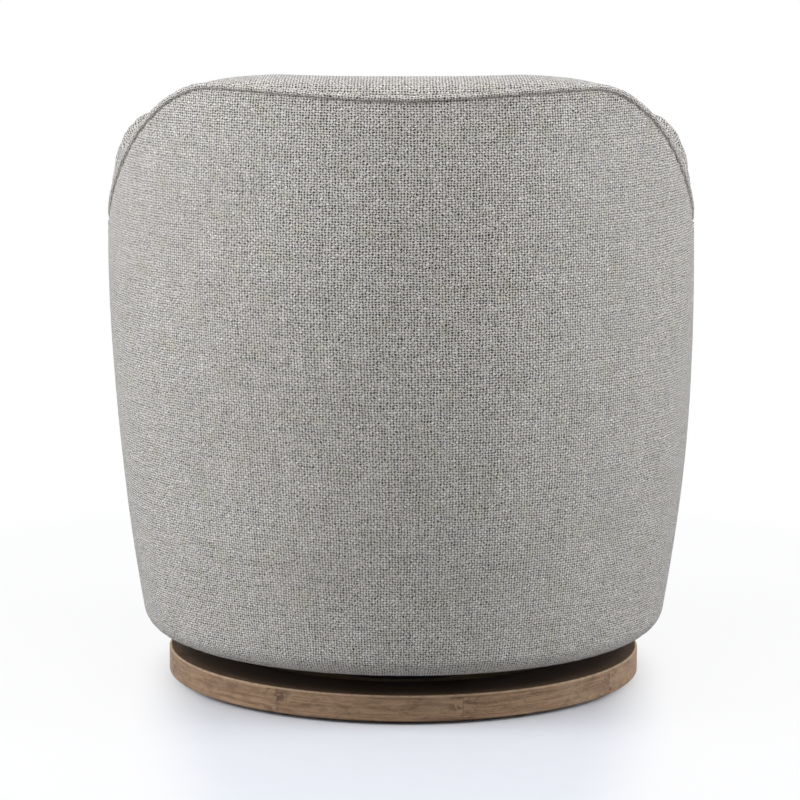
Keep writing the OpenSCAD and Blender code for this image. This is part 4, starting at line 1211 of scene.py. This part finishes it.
# ---- studio
def floor():
    """A pale floor that keeps the rendered shadow near the chair, with a painted shadow in an ellipse round
    it, and goes over to the white backdrop.
    """
    g = Graph("studio_floor")
    point = g.object_point()
    x, y, _ = g.split(point)
    # The ellipse round the chair, reaching farther to the rear, is a painted shadow: inside it the floor
    # keeps its darker pale colour, outside it turns white.
    deep = g.math("MAXIMUM", g.mul(y, 1 / 1.3), g.mul(y, -1 / 0.42))
    away = g.math("SQRT", g.add(g.mul(g.mul(x, x), 1 / 0.34**2), g.mul(deep, deep)))
    speck = g.noise(point, 30.0, 3.0)
    pale = g.colour(speck, srgb(226, 227, 232), srgb(230, 231, 236))
    white = g.node("Emission")
    white.inputs["Color"].default_value = (1, 1, 1, 1)
    ray = g.node("LightPath").outputs
    seen = g.math("MAXIMUM", ray["Is Glossy Ray"], ray["Is Transmission Ray"])
    seen = g.math("MAXIMUM", ray["Is Camera Ray"], seen)
    g.finish(g.colour(seen, srgb(150, 150, 152), pale), 0.6, Specular_IOR_Level=0.2)
    far = g.math("MAXIMUM", g.remap(away, 0.70, 1.05, 0.0, 0.86), g.remap(away, 1.4, 3.2))
    blend = g.node("MixShader")
    g.put(g.mul(seen, far), blend.inputs[0])
    g.put(g.shader.outputs[0], blend.inputs[1])
    g.put(white.outputs[0], blend.inputs[2])
    g.tree.links.new(blend.outputs[0], g.out.inputs["Surface"])
    reach = 6000
    corners = [(-reach, -reach, 0), (reach, -reach, 0), (reach, reach, 0), (-reach, reach, 0)]
    obj = mesh_from("floor", corners, [(0, 1, 2, 3)], smooth_faces=False)
    dress(obj, g.material)


def world():
    """Even, soft light, and a white backdrop that only seen rays meet."""
    w = bpy.data.worlds.new("studio")
    scene.world = w
    w.use_nodes = True
    tree = w.node_tree
    tree.nodes.clear()

    def node(kind, **settings):
        n = tree.nodes.new("ShaderNode" + kind)
        for k, v in settings.items():
            setattr(n, k, v)
        return n

    light, white = node("Background"), node("Background")
    light.inputs["Color"].default_value = (0.97, 0.985, 1.0, 1)
    light.inputs["Strength"].default_value = 0.40
    white.inputs["Color"].default_value = (1, 1, 1, 1)
    ray = node("LightPath")
    first, both = node("Math", operation="MAXIMUM"), node("Math", operation="MAXIMUM")
    blend, out = node("MixShader"), node("OutputWorld")
    for source, target in (
        (ray.outputs["Is Camera Ray"], first.inputs[0]),
        (ray.outputs["Is Glossy Ray"], first.inputs[1]),
        (first.outputs[0], both.inputs[0]),
        (ray.outputs["Is Transmission Ray"], both.inputs[1]),
        (both.outputs[0], blend.inputs[0]),
        (light.outputs[0], blend.inputs[1]),
        (white.outputs[0], blend.inputs[2]),
        (blend.outputs[0], out.inputs["Surface"]),
    ):
        tree.links.new(source, target)


def softbox(name, at, target, size, power, colour=(1, 1, 1)):
    data = bpy.data.lights.new(name, "AREA")
    data.shape = "RECTANGLE"
    data.size, data.size_y = size
    data.energy = power
    data.color = colour
    obj = bpy.data.objects.new(name, data)
    scene.collection.objects.link(obj)
    obj.location = at
    obj.rotation_mode = "QUATERNION"
    obj.rotation_quaternion = (Vector(at) - Vector(target)).to_track_quat("Z", "Y")


floor()
world()
COOL = (0.975, 1.0, 1.04)
softbox("box_left", (3.2, 0.7, 1.6), (0, 0, 0.45), (1.8, 2.2), 81, COOL)
softbox("box_right", (-3.2, 0.5, 1.6), (0, 0, 0.45), (1.8, 2.2), 62, COOL)
softbox("box_top", (0.0, 1.6, 3.3), (0, 0, 0.4), (2.4, 2.4), 44, COOL)
softbox("box_front", (0.0, -3.4, 2.0), (0, 0, 0.45), (2.6, 2.0), 26)
